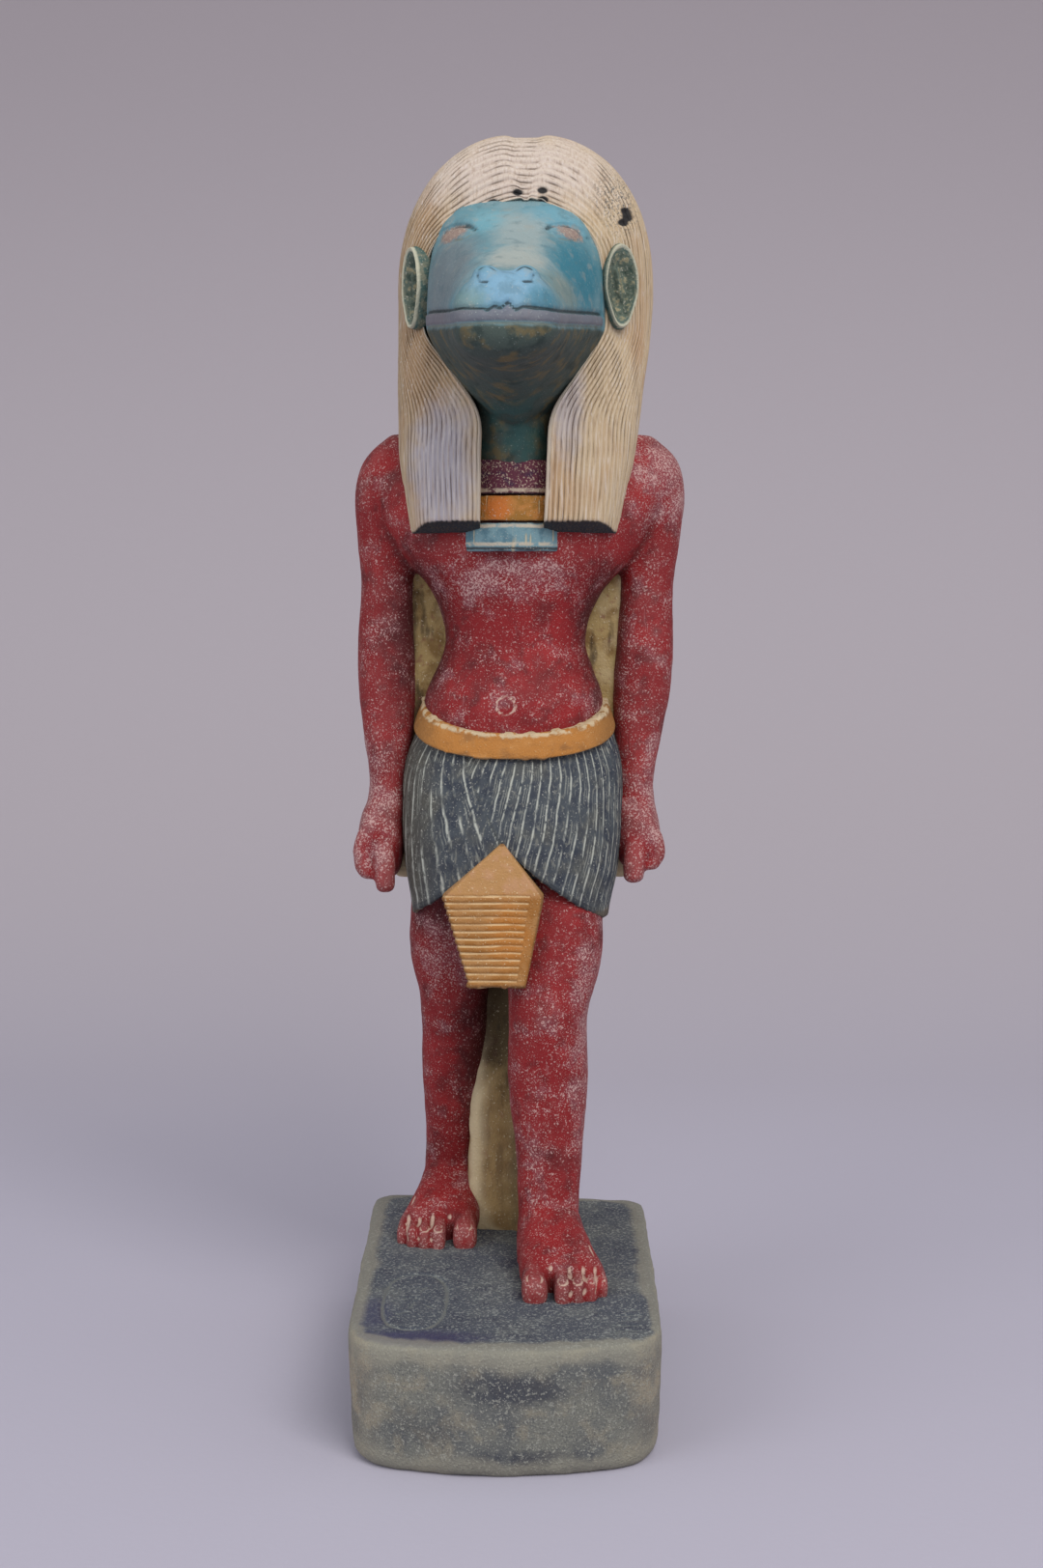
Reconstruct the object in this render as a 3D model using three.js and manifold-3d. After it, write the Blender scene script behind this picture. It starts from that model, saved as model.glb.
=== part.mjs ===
// A striding figure with a crocodile's head and a long wig, carved with its base, its back
// pillar and the stone between its limbs as one piece of soft stone. Millimetres, +Z up.
// The figure faces -Y. The origin is on the underside, midway between the base's sides and
// 63 mm behind its front.

import * as THREE from "three";
import { mergeVertices } from "three/addons/utils/BufferGeometryUtils.js";
import Module from "manifold-3d";

const wasm = await Module();
wasm.setup();

// Driving sizes

const BASE = { front: 63, backLeft: 67.5, backRight: 62, height: 32, taper: 1, edge: 0.8 };
const BASE_HALF = { front: 38.5, back: 40 };
const BASE_CORNER = { front: 14, bow: 7, back: 8 };
const TOTAL_HEIGHT = 333;
const BODY_Y = 32; // the body's middle, towards the back of the base
const ARM_REACH = 35.6; // from the body's middle to the middle of an arm
const HEM = { side: 123, apex: 144, apexX: -1.2, leftX: -27.5, rightX: 26 };
const BELT = { sideZ: 178.6, frontZ: 169.8, height: 6.8, proud: 0.9 };
const APRON = { top: 144, corner: 130.8, bottom: 106.6, front: -1.6, thickness: 10 };
const APRON_RIDGES = 15;
const PILLAR = { x: 2.2, width: 30, front: 44, back: 59, top: 236 };
const WIG = { x: 5.1, y: 32, equator: 289, bottom: 226.4, parting: 22.5, strand: 0.45 };
const PLEAT = 0.4;
const FRONT_ANKLE = { x: 11.2, y: 4 };
const BACK_ANKLE = { x: -15.8, y: 48 };
const FOOT = { ahead: 35, behind: 10, toe: 12, sunk: 1.6 };

// Small sums

const lerp = (a, b, t) => a + (b - a) * t;
const clamp01 = (t) => Math.min(1, Math.max(0, t));
const smooth = (t) => clamp01(t) ** 2 * (3 - 2 * clamp01(t));
const power = (v, p) => Math.sign(v) * Math.abs(v) ** p;

// The figure leans a little to its own left: the x of its middle line at a height.
const middleX = (z) => lerp(0.6, 3.5, (z - 140) / 100);

// A row of numbers at t from 0 to 1 along a list of rows, on a smooth curve through them.
function along(rows, t) {
  const last = rows.length - 1;
  const i = Math.min(last - 1, Math.floor(t * last));
  const u = t * last - i;
  const [a, b, c, d] = [i - 1, i, i + 1, i + 2].map((k) => rows[Math.min(last, Math.max(0, k))]);
  return b.map(
    (v, k) =>
      v +
      0.5 * u * (c[k] - a[k] + u * (2 * a[k] - 5 * v + 4 * c[k] - d[k] + u * (3 * (v - c[k]) + d[k] - a[k]))),
  );
}

// The same, at a given value of the rows' first number, which runs one way down the list.
function rowAt(rows, value) {
  let low = 0;
  let high = 1;
  const falling = rows[0][0] > rows.at(-1)[0];
  for (let k = 0; k < 30; k++) {
    const middle = (low + high) / 2;
    if (along(rows, middle)[0] > value === falling) low = middle;
    else high = middle;
  }
  return along(rows, low);
}

// Solids

// A closed mesh as a solid. Its faces are turned outwards.
function solid(geometry) {
  geometry.deleteAttribute("normal");
  geometry.deleteAttribute("uv");
  const merged = mergeVertices(geometry, 1e-4);
  const vertProperties = merged.getAttribute("position").array;
  const triVerts = new Uint32Array(merged.index.array);
  const make = () => new wasm.Manifold(new wasm.Mesh({ numProp: 3, vertProperties, triVerts }));
  const made = make();
  if (made.volume() > 0) return made;
  for (let i = 0; i < triVerts.length; i += 3) {
    [triVerts[i + 1], triVerts[i + 2]] = [triVerts[i + 2], triVerts[i + 1]];
  }
  return make();
}

// A capped cylinder reshaped: the vertex at side number j of ring number k goes to place(j, k),
// and the middle of each cap goes to the mean of its ring.
function loft(sides, rings, place) {
  const form = new THREE.CylinderGeometry(1, 1, 1, sides, rings);
  const at = form.getAttribute("position");
  for (let i = 0; i < at.count; i++) {
    const ring = Math.round((at.getY(i) + 0.5) * rings);
    const middle = Math.hypot(at.getX(i), at.getZ(i)) < 0.5;
    const side = Math.round((Math.atan2(at.getX(i), at.getZ(i)) / (2 * Math.PI)) * sides + sides) % sides;
    const there = new THREE.Vector3();
    if (middle) {
      for (let j = 0; j < sides; j++) there.add(new THREE.Vector3(...place(j, ring)));
      there.divideScalar(sides);
    } else {
      there.set(...place(side, ring));
    }
    at.setXYZ(i, there.x, there.y, there.z);
  }
  return solid(form);
}

// One point of a rounded section: half size across, own sizes up and down the other way.
function oval(angle, across, up, down, squareness) {
  const c = Math.cos(angle);
  const s = Math.sin(angle);
  return [across * power(c, 2 / squareness), (s < 0 ? down : up) * power(s, 2 / squareness)];
}

// An upright form from rows of height, x, y, half width, front, back and squareness.
function upright(rows, sides, rings, touch = (angle, z) => 0) {
  return loft(sides, rings, (j, k) => {
    const angle = (j / sides) * 2 * Math.PI;
    const [z, x, y, half, front, back, squareness] = along(rows, k / rings);
    const grow = touch(angle, z);
    const [dx, dy] = oval(angle, half + grow, back + grow, front + grow, squareness);
    return [x + dx, y + dy, z];
  });
}

// A lying form from rows of y, x, height of its middle, half width, rise, fall and squareness.
function lying(rows, sides, rings, turn = (point) => point) {
  return loft(sides, rings, (j, k) => {
    const angle = (j / sides) * 2 * Math.PI;
    const [y, x, z, half, rise, fall, squareness] = along(rows, k / rings);
    const [dx, dz] = oval(angle, half, rise, fall, squareness);
    return turn([x + dx, y, z + dz]);
  });
}

function box(x0, x1, y0, y1, z0, z1) {
  const form = new THREE.BoxGeometry(x1 - x0, y1 - y0, z1 - z0);
  return solid(form.translate((x0 + x1) / 2, (y0 + y1) / 2, (z0 + z1) / 2));
}

// An egg-shaped lump, turned about z and then set in place.
function lump(x, y, z, sizeX, sizeY, sizeZ, turnZ = 0, sides = 8, rows = 5) {
  const form = new THREE.SphereGeometry(1, sides, rows);
  form.rotateX(Math.PI / 2).scale(sizeX, sizeY, sizeZ).rotateZ(turnZ).translate(x, y, z);
  return solid(form);
}

// A flat outline in x and z, given depth from y0 to y1.
function plate(outline, y0, y1) {
  const shape = new THREE.Shape(outline.map(([x, z]) => new THREE.Vector2(x, z)));
  const form = new THREE.ExtrudeGeometry(shape, { depth: y1 - y0, bevelEnabled: false });
  return solid(form.rotateX(Math.PI / 2).translate(0, y1, 0));
}

const join = (solids) => solids.reduce((sum, next) => sum.add(next));

// Base: nearly square behind, with a bowed front between rounder corners, and with an oval name
// ring and short strokes cut in its top

function baseOutline() {
  const { front, backLeft, backRight } = BASE;
  const { front: near, back: far } = BASE_HALF;
  const { front: round, bow, back: tight } = BASE_CORNER;
  const shape = new THREE.Shape();
  shape.moveTo(near, bow + round - front);
  shape.lineTo(far, backRight - tight);
  shape.quadraticCurveTo(far, backRight, far - tight, backRight);
  shape.lineTo(tight - far, backLeft);
  shape.quadraticCurveTo(-far, backLeft, -far, backLeft - tight);
  shape.lineTo(-near, bow + round - front);
  shape.quadraticCurveTo(-near, bow * 0.8 - front, round - near, bow * 0.5 - front);
  shape.quadraticCurveTo(0, -bow * 0.5 - front, near - round, bow * 0.5 - front);
  shape.quadraticCurveTo(near, bow * 0.8 - front, near, bow + round - front);
  return shape.getPoints(6).slice(1);
}

function baseBlock() {
  const heights = [0, 2, 16, BASE.height - BASE.edge, BASE.height];
  const inset = [BASE.taper + 1.2, BASE.taper, 0.3, 0, BASE.edge];
  const outline = baseOutline();
  return loft(outline.length, heights.length - 1, (j, k) => {
    const { x, y } = outline[j];
    return [x * (1 - inset[k] / BASE_HALF.back), y * (1 - inset[k] / BASE.front), heights[k]];
  });
}

const CARTOUCHE = { x: -23, y: -28.5, half: 8.4, length: 20.5, groove: 1.1, deep: 0.7, strokes: 4 };

function cartoucheCut() {
  const ring = (half, length) => {
    const shape = new THREE.Shape();
    shape.moveTo(-half, -length + half);
    shape.absarc(0, -length + half, half, Math.PI, 2 * Math.PI);
    shape.absarc(0, length - half, half, 0, Math.PI);
    return shape;
  };
  const { x, y, half, length, groove, deep, strokes } = CARTOUCHE;
  const outer = ring(half, length);
  outer.holes.push(ring(half - groove, length - groove));
  const form = new THREE.ExtrudeGeometry(outer, { depth: 3, bevelEnabled: false, curveSegments: 6 });
  const cuts = [solid(form.translate(x, y, BASE.height - deep))];
  for (let i = 0; i < strokes; i++) {
    const row = y + lerp(-0.45, 0.55, i / (strokes - 1)) * length;
    const shift = i % 2 ? 2 : -2;
    cuts.push(box(x + shift - 2.6, x + shift + 2.6, row - 0.45, row + 0.45, BASE.height - deep, BASE.height + 2));
  }
  return join(cuts);
}

// Legs, feet and toes. The statue's own left leg strides ahead.

const BACK_LEG = [
  [38, -16.2, 47.5, 7.8, 8.2, 8.6, 2.2],
  [48, -16.1, 47, 7.8, 7.8, 8.4, 2.2],
  [60, -15.6, 44, 8, 8.4, 8.6, 2.2],
  [80, -15.1, 39, 9.2, 9.6, 12, 2.2],
  [97, -15.0, 35, 9.4, 10.6, 11.5, 2.4],
  [111, -15.2, 34, 12, 12.5, 13, 2.4],
  [130, -13.2, 33, 13.4, 16, 15, 2.3],
];
const FRONT_LEG = [
  [38, 11.2, 4, 8, 9, 9.2, 2.2],
  [48, 11.2, 5, 8.2, 8.6, 8.8, 2.2],
  [60, 11.3, 7, 8.8, 9, 9.5, 2.2],
  [80, 11.0, 10, 10.7, 10, 13, 2.2],
  [97, 11.2, 13, 10.6, 13, 11.5, 2.4],
  [112, 12.8, 16.5, 12.8, 14, 13, 2.4],
  [130, 13.2, 22, 13, 17, 15, 2.3],
];

function foot({ x, y }, outward) {
  const floor = BASE.height - FOOT.sunk;
  const tread = (dy, dx, half, top) => {
    const height = top + FOOT.sunk;
    return [y + dy, x + outward * dx, floor + height * 0.4, half, height * 0.6, height * 0.4, 2.8];
  };
  const rows = [
    tread(FOOT.behind + 0.8, 0, 4, 7.4),
    tread(FOOT.behind - 2, 0, 7.4, 13.4),
    tread(0, 0, 8.4, 19.4),
    tread(-9, 0.8, 9.2, 16.4),
    tread(-17, 2.2, 10.2, 12),
    tread(-24, 3.6, 10.8, 8.4),
    tread(FOOT.toe - FOOT.ahead - 3.5, 4.2, 10.2, 5.6),
  ];
  const toes = [
    [-4.0, 3.3, 7.4, 0],
    [3.1, 2.05, 6.6, 0.4],
    [6.9, 1.9, 6.2, -0.3],
    [10.3, 1.75, 5.8, -1.6],
    [13.2, 1.6, 5.2, -4.4],
  ].map(([dx, half, height, reach]) => {
    const tip = y - FOOT.ahead - reach;
    const at = x + outward * dx;
    return lying(
      [
        [tip, at, BASE.height + 1.4, half * 0.55, height * 0.3, 2.4, 2.2],
        [tip + 1.3, at, BASE.height + 1.6, half, height * 0.55, 3, 2.4],
        [tip + 5, at - outward * 0.1, BASE.height + 2, half, height * 0.62, 3.4, 2.4],
        [tip + FOOT.toe, at - outward * dx * 0.08, BASE.height + 2.4, half, height * 0.75, 3.6, 2.4],
      ],
      6,
      3,
    );
  });
  return join([lying(rows, 12, 6), ...toes]);
}

// Kilt: pleated, its hem rising in front to the point that the apron hangs from

const KILT = [
  [HEM.side, 0.9, 27, 26.8, 24, 22, 2.5],
  [137, 1.2, 28, 29.2, 24.5, 21, 2.5],
  [150, 1.4, 29.5, 30.2, 23.5, 19.5, 2.5],
  [166, 1.8, 31, 29.4, 21.5, 17.5, 2.5],
  [181, 2.2, 32, 24.7, 19.4, 16.3, 2.4],
];

function hemHeight(x) {
  const out = x < HEM.apexX ? (HEM.apexX - x) / (HEM.apexX - HEM.leftX) : (x - HEM.apexX) / (HEM.rightX - HEM.apexX);
  return lerp(HEM.apex, HEM.side, clamp01(out) ** 0.8);
}

// How far the belt has dipped, from 0 at the sides and behind to 1 in the middle of the front.
const beltDip = (angle) => (Math.sin(angle) > 0 ? 0 : Math.sqrt(1 - Math.abs(Math.cos(angle)) ** 1.67));

function kilt() {
  const sides = 72;
  const rings = 3;
  return loft(sides, rings, (j, k) => {
    const angle = (j / sides) * 2 * Math.PI;
    const [, x, y, half, front, back, squareness] = along(KILT, k / rings);
    const fold = j % 2 ? 0 : -PLEAT;
    const [dx, dy] = oval(angle, half + fold, back + fold, front + fold, squareness);
    const ahead = smooth(-Math.sin(angle) * 3);
    const foot = lerp(HEM.side, hemHeight(x + dx), ahead);
    const top = lerp(BELT.sideZ, BELT.frontZ, beltDip(angle)) + 1;
    return [x + dx, y + dy, lerp(foot, top, k / rings)];
  });
}

// Belt: a band that dips in front

function belt() {
  const sides = 32;
  const rim = [
    [-0.5, -2],
    [-0.45, BELT.proud],
    [0.45, BELT.proud],
    [0.5, -2],
  ];
  return loft(sides, rim.length - 1, (j, k) => {
    const angle = (j / sides) * 2 * Math.PI;
    const z = lerp(BELT.sideZ, BELT.frontZ, beltDip(angle)) + rim[k][0] * BELT.height;
    const [, x, y, half, front, back, squareness] = rowAt(KILT, Math.min(180.5, z));
    const out = rim[k][1];
    const [dx, dy] = oval(angle, half + out, back + out, front + out, squareness);
    return [x + dx, y + dy, z];
  });
}

// Apron: a ridged tapering panel that hangs in front of the kilt

function apron() {
  const outline = [
    [-1.2, APRON.top],
    [-17, APRON.corner],
    [-9.8, APRON.bottom],
    [5, APRON.bottom],
    [9.8, APRON.corner],
  ];
  const pitch = (APRON.corner - APRON.bottom) / APRON_RIDGES;
  const back = APRON.front + APRON.thickness;
  const side = [
    [back, APRON.top + 1],
    [APRON.front + 3.2, APRON.top + 1],
    [APRON.front + 0.6, APRON.corner],
  ];
  for (let i = 0; i < APRON_RIDGES; i++) {
    side.push([APRON.front + 0.1, APRON.corner - (i + 0.5) * pitch]);
    side.push([APRON.front + 0.6, APRON.corner - (i + 1) * pitch]);
  }
  side.push([back, APRON.bottom]);
  const shape = new THREE.Shape(side.map(([y, z]) => new THREE.Vector2(y, z)));
  const form = new THREE.ExtrudeGeometry(shape, { depth: 40, bevelEnabled: false });
  form.rotateX(Math.PI / 2).rotateZ(Math.PI / 2).translate(-20, 0, 0);
  return plate(outline, APRON.front - 1, back).intersect(solid(form));
}

// Body. Rows of height, offset from the middle line, y, half width, front, back and squareness

const TORSO = [
  [150, 0, BODY_Y, 25, 19, 15, 2.4],
  [168, 0, BODY_Y, 25, 20.2, 16, 2.3],
  [182, 0, BODY_Y, 24.6, 19.2, 15.6, 2.4],
  [190, 0, BODY_Y, 21.6, 18.2, 15, 2.3],
  [197, 0, BODY_Y, 19.3, 17, 14.2, 2.3],
  [205, 0, BODY_Y, 20.6, 17.6, 14.4, 2.3],
  [213, 0, BODY_Y, 24.6, 19.2, 15, 2.4],
  [221, 0, BODY_Y, 31.5, 20.6, 15.8, 2.6],
  [231, 0, BODY_Y, 37.5, 20, 16, 2.7],
  [241, 0, BODY_Y + 1, 40.5, 17.5, 16, 2.7],
  [248, 0, BODY_Y + 2, 38, 13.5, 14.5, 2.5],
  [253.6, 0, BODY_Y + 2, 31, 9, 10, 2.3],
  [257, 0, BODY_Y + 2, 16, 5, 6, 2.2],
];

const ARM = [
  [146, ARM_REACH - 0.4, 30.5, 5.9, 9.5, 9, 2.8],
  [153, ARM_REACH - 0.9, 31, 5.2, 7.4, 7.2, 2.5],
  [160, ARM_REACH - 1.3, 32, 5.1, 6.4, 6.4, 2.2],
  [172, ARM_REACH - 1.0, 34, 6.8, 7.4, 7.6, 2.2],
  [186, ARM_REACH - 0.4, 35.5, 8.0, 8.4, 8.6, 2.2],
  [199, ARM_REACH + 0.2, 36, 7.9, 8.6, 8.8, 2.2],
  [213, ARM_REACH + 0.2, 36, 7.3, 8.6, 8.6, 2.2],
  [226, ARM_REACH + 0.5, 36, 8.6, 9.6, 9.6, 2.2],
  [238, ARM_REACH + 0.6, 36, 9.1, 11.2, 11, 2.3],
  [247, ARM_REACH - 1.4, 36, 9, 10, 10, 2.2],
  [254, ARM_REACH - 5.5, 36, 6, 6.5, 6.5, 2.1],
];

function arm(side, drop) {
  const rows = ARM.map(([z, x, ...rest]) => [z, middleX(z) + side * x, ...rest]);
  const handX = middleX(140) + side * (ARM_REACH - 0.4);
  const fist = upright(
    [
      [131.5 - drop, handX, 30.5, 3.4, 6, 6, 2.6],
      [134 - drop, handX, 30.5, 5, 8.8, 9, 3],
      [142, handX, 30.5, 6.2, 10.6, 10.4, 3],
      [148, handX, 30.5, 6.1, 10.2, 9.8, 2.9],
      [154, handX - side * 1.2, 31, 5.3, 8, 8, 2.6],
    ],
    12,
    5,
  );
  const fingers = [0, 1, 2, 3].map((i) => {
    const y = 22.8 + i * 5.1;
    return upright(
      [
        [131.6 - drop, handX + side * 2.8, y, 2.3, 1.9, 1.9, 2.2],
        [134.5 - drop, handX + side * 4.2, y, 2.8, 2.4, 2.4, 2.2],
        [141, handX + side * 4.8, y, 2.8, 2.4, 2.4, 2.2],
        [146, handX + side * 4, y, 2.3, 2.2, 2.2, 2.2],
      ],
      5,
      3,
    );
  });
  const thumbX = handX - side * 1.4;
  const thumb = upright(
    [
      [128.4 - drop, thumbX, 19.6, 1.5, 1.4, 1.8, 2.2],
      [129.6 - drop, thumbX, 19.5, 2.7, 2.4, 3, 2.4],
      [134, thumbX, 19.3, 2.8, 2.5, 4, 2.4],
      [141, thumbX + side * 0.4, 20.6, 2.9, 2.4, 5, 2.4],
      [150, thumbX + side * 1.2, 25, 2.6, 2, 5, 2.2],
    ],
    8,
    5,
  );
  return join([upright(rows, 12, 9), fist, thumb, ...fingers]);
}

// The stone left between the limbs and behind them

function stoneBetween() {
  const webFront = 33.5;
  const webBack = 43;
  const pillar = box(
    PILLAR.x - PILLAR.width / 2, PILLAR.x + PILLAR.width / 2, PILLAR.front, PILLAR.back, BASE.height - 2, PILLAR.top,
  );
  const sides = box(-32, 35, webFront, webBack, 131.5, 226);
  const betweenLegs = upright(
    [
      [BASE.height - 2, -1.5, 44, 10, 14.2, 12, 6],
      [80, -1, 45, 10, 12, 12, 6],
      [132, 0, 46, 12, 10, 12, 6],
    ],
    12,
    3,
  );
  const behindFrontLeg = box(3.6, 16.4, 10, 50, BASE.height - 2, 126);
  return join([pillar, sides, betweenLegs, behindFrontLeg]);
}

// Collar: three bands between the wig's two front falls

const COLLAR = [
  { top: 245.6, bottom: 236.6, out: 0 },
  { top: 236.2, bottom: 229.4, out: 1.2 },
  { top: 229, bottom: 221.6, out: 2.3 },
];

function collar() {
  return join(
    COLLAR.map(({ top, bottom, out }) =>
      upright(
        [
          [bottom, 1.6, 26, 15 + out, 16.6 + out, 6, 2.3],
          [top, 1.6, 26, 15 + out, 15.8 + out, 6, 2.3],
        ],
        16,
        1,
      ),
    ),
  );
}

// Wig: strands start at the parting over the crown, come down round the head and hang straight.
// Rows of height, middle x, half width, front, back, squareness, and the face opening to the left
// and to the right of the middle

const WIG_FALL = [
  [WIG.equator, WIG.x, 34.6, 23.6, 27, 2.4, 26.4, 19.6],
  [279, 4.6, 34.2, 24.4, 27.4, 2.5, 26, 20.2],
  [268, 3.8, 33.5, 25.4, 28, 2.9, 17.6, 14.6],
  [257, 3.2, 32.8, 26.4, 28.4, 3.4, 10.4, 8.6],
  [245, 2.6, 31.6, 27.2, 28.5, 4, 9.4, 8],
  [WIG.bottom, 2.0, 27.8, 27.6, 28.5, 5, 9, 7.8],
];

// The fall's outline on one side at a height, from the face opening to the middle of the back,
// as a point at share s of its length.
function fallPoint(z, s, side) {
  const [, x, half, front, back, squareness, openLeft, openRight] = rowAt(WIG_FALL, z);
  const opening = side < 0 ? openLeft : openRight;
  const start = -Math.acos((opening / half) ** (squareness / 2));
  const steps = 60;
  const points = [];
  for (let i = 0; i <= steps; i++) {
    const angle = lerp(start, Math.PI / 2, i / steps);
    const [dx, dy] = oval(angle, half, back, front, squareness);
    points.push(new THREE.Vector2(x + side * dx, WIG.y + dy));
  }
  const lengths = [0];
  for (let i = 1; i <= steps; i++) lengths.push(lengths[i - 1] + points[i].distanceTo(points[i - 1]));
  const wanted = s * lengths[steps];
  const i = Math.max(1, lengths.findIndex((length) => length >= wanted - 1e-9));
  return points[i - 1].clone().lerp(points[i], (wanted - lengths[i - 1]) / (lengths[i] - lengths[i - 1]));
}

// A point of the wig: s runs from the face to the middle of the back, t from the parting down
// to the bottom, with the share crown of it over the top of the head.
const crown = 0.5;

function wigPoint(s, t, side) {
  const rim = fallPoint(Math.min(WIG.equator, lerp(WIG.equator, WIG.bottom, (t - crown) / (1 - crown))), s, side);
  if (t >= crown) return [rim.x, rim.y, lerp(WIG.equator, WIG.bottom, (t - crown) / (1 - crown))];
  const turn = lerp(0.04, Math.PI / 2, t / crown);
  const roundness = lerp(lerp(1.4, 2.8, t / crown), 2.4, smooth(s * 4));
  const out = Math.sin(turn) ** (2 / roundness);
  const up = Math.cos(turn) ** (2 / roundness);
  const startY = WIG.y - WIG.parting * Math.cos(Math.PI * s);
  const rise = (1 - (Math.abs(startY - WIG.y) / (WIG.parting + 2.6)) ** 2.4) ** (1 / 2.4);
  const startZ = lerp(WIG.equator, TOTAL_HEIGHT + 0.6, rise);
  return [
    lerp(WIG.x, rim.x, t === 0 ? 0 : out),
    lerp(startY, rim.y, 1 - up),
    lerp(WIG.equator, startZ, up) - (t === 0 ? 1.3 : 0),
  ];
}

function wig() {
  const down = 11;
  const strands = 36;
  const sides = 2 * down + 1;
  return loft(sides, strands + 1, (j, k) => {
    const side = j < down ? -1 : 1;
    const t = Math.abs(j - down) / down;
    const inner = k === 0;
    const s = inner ? 0 : lerp(0, 0.985, (k - 1) / strands);
    const [x, y, z] = wigPoint(s, t, side);
    if (inner) return [x, WIG.y - 4, z];
    const middle = [WIG.x, WIG.y, Math.min(z, WIG.equator - 10)];
    const away = new THREE.Vector3(x - middle[0], y - middle[1], z - middle[2]).normalize();
    const cut = k % 2 || t === 0 ? 0 : WIG.strand;
    return [x - away.x * cut, y - away.y * cut, t === 1 ? z : z - away.z * cut];
  });
}

// Head: the snout reaches forward over the chest. Rows of y, x, height of the mouth line, half
// width, rise, fall, squareness above and squareness below, where 1 is a wedge

const HEAD = [
  [37, 4.6, 284, 23, 34, 24, 2.6, 2],
  [16, 3.2, 279.8, 22.9, 35.2, 27, 2.6, 1.3],
  [7, 2.1, 279.2, 22.4, 30.8, 25, 2.6, 1.3],
  [-4, 1.5, 278, 20.4, 25.4, 19.5, 2.4, 1.4],
  [-16, 1.1, 276.4, 17.2, 20.2, 15.2, 2.3, 1.6],
  [-28, 0.7, 274.8, 14.9, 15.6, 12, 2.3, 1.8],
  [-38, 0.4, 273.4, 13.4, 13, 10, 2.4, 2],
  [-46, 0.1, 272.4, 12.2, 12.4, 8.4, 2.6, 2.2],
  [-51, 0, 272, 9.6, 10.4, 6.2, 2.4, 2.2],
  [-53, 0, 272, 5, 6, 3.4, 2.2, 2.2],
];

function head() {
  const sides = 22;
  const rings = 13;
  const skull = loft(sides, rings, (j, k) => {
    const angle = (j / sides) * 2 * Math.PI;
    const [y, x, z, half, rise, fall, above, below] = along(HEAD, k / rings);
    const mouth = j % (sides / 2) === 0 && y < 12 ? 1.1 : 0;
    const [dx, dz] = oval(angle, half - mouth, rise, fall, Math.sin(angle) < 0 ? below : above);
    return [x + dx, y, z + dz];
  });
  const eyes = [-1, 1].map((side) => lump(1.3 + side * 14.2, 4.4, 302.6, 4.4, 3, 2.7, side * 0.5));
  const brows = [-1, 1].map((side) => lump(1.3 + side * 13.4, 5.6, 305, 5.6, 3.4, 2.2, side * 0.5));
  const nostrils = [-1, 1].map((side) => lump(0.2 + side * 4.6, -44.6, 283.6, 3, 3.4, 2.6));
  const neck = upright(
    [
      [240, 1.6, 28, 12, 17, 4, 2.3],
      [250, 1.6, 28, 12, 19, 4, 2.2],
      [262, 1.6, 28, 12, 20.5, 4, 2],
    ],
    12,
    3,
  );
  return join([skull, neck, ...eyes, ...brows, ...nostrils]);
}

// Ears: shells in front of the wig, each with a hollow

function ear(x, y, turn) {
  const form = (sizeX, sizeY, sizeZ, ahead) => {
    const shell = new THREE.SphereGeometry(1, 8, 5);
    shell.rotateX(Math.PI / 2).scale(sizeX, sizeY, sizeZ).translate(0, ahead, 0);
    return solid(shell.rotateZ(turn).translate(x, y, 290.6));
  };
  return form(5, 3.4, 10.8, 0).subtract(form(3, 2.6, 7.6, -3));
}

// The whole stone

const figure = join([
  upright(BACK_LEG, 12, 6),
  upright(FRONT_LEG, 12, 6),
  foot(BACK_ANKLE, -1),
  foot(FRONT_ANKLE, 1),
  kilt(),
  belt(),
  apron(),
  upright(TORSO.map(([z, x, ...rest]) => [z, middleX(z) + x, ...rest]), 24, 10),
  arm(-1, -1),
  arm(1, -3.6),
  stoneBetween(),
  collar(),
  head(),
  wig(),
  ear(-22.6, 15.5, -1.05),
  ear(29, 13.5, 0.4),
]);
const carved = baseBlock().subtract(cartoucheCut()).add(figure);

function toGeometry(manifold) {
  const { numProp, vertProperties, triVerts } = manifold.getMesh();
  const places = new Float32Array((vertProperties.length / numProp) * 3);
  for (let i = 0; i < places.length / 3; i++) {
    places.set(vertProperties.subarray(i * numProp, i * numProp + 3), i * 3);
  }
  const geometry = new THREE.BufferGeometry();
  geometry.setAttribute("position", new THREE.BufferAttribute(places, 3));
  geometry.setIndex(new THREE.BufferAttribute(triVerts, 1));
  return geometry;
}

const paintedStone = new THREE.MeshStandardMaterial({ color: 0x8c3432, roughness: 0.85, metalness: 0 });
const statue = new THREE.Mesh(toGeometry(carved), paintedStone);
statue.name = "statue";

const group = new THREE.Group();
group.add(statue);
export default group;
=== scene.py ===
# %% [markdown]
# # A carved and painted figure with a crocodile's head
# The real statue is one block of soft stone. A carver cut the figure, its wig, its kilt and its
# base together, then it was painted, rubbed and dusted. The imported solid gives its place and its
# main forms. This lesson makes finer skins over that solid, one for each painted area, from the
# same rows of sizes, and gives each its own paint.

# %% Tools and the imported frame
import math
import bmesh
import bpy
import numpy as np
from mathutils import Matrix, Vector


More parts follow.
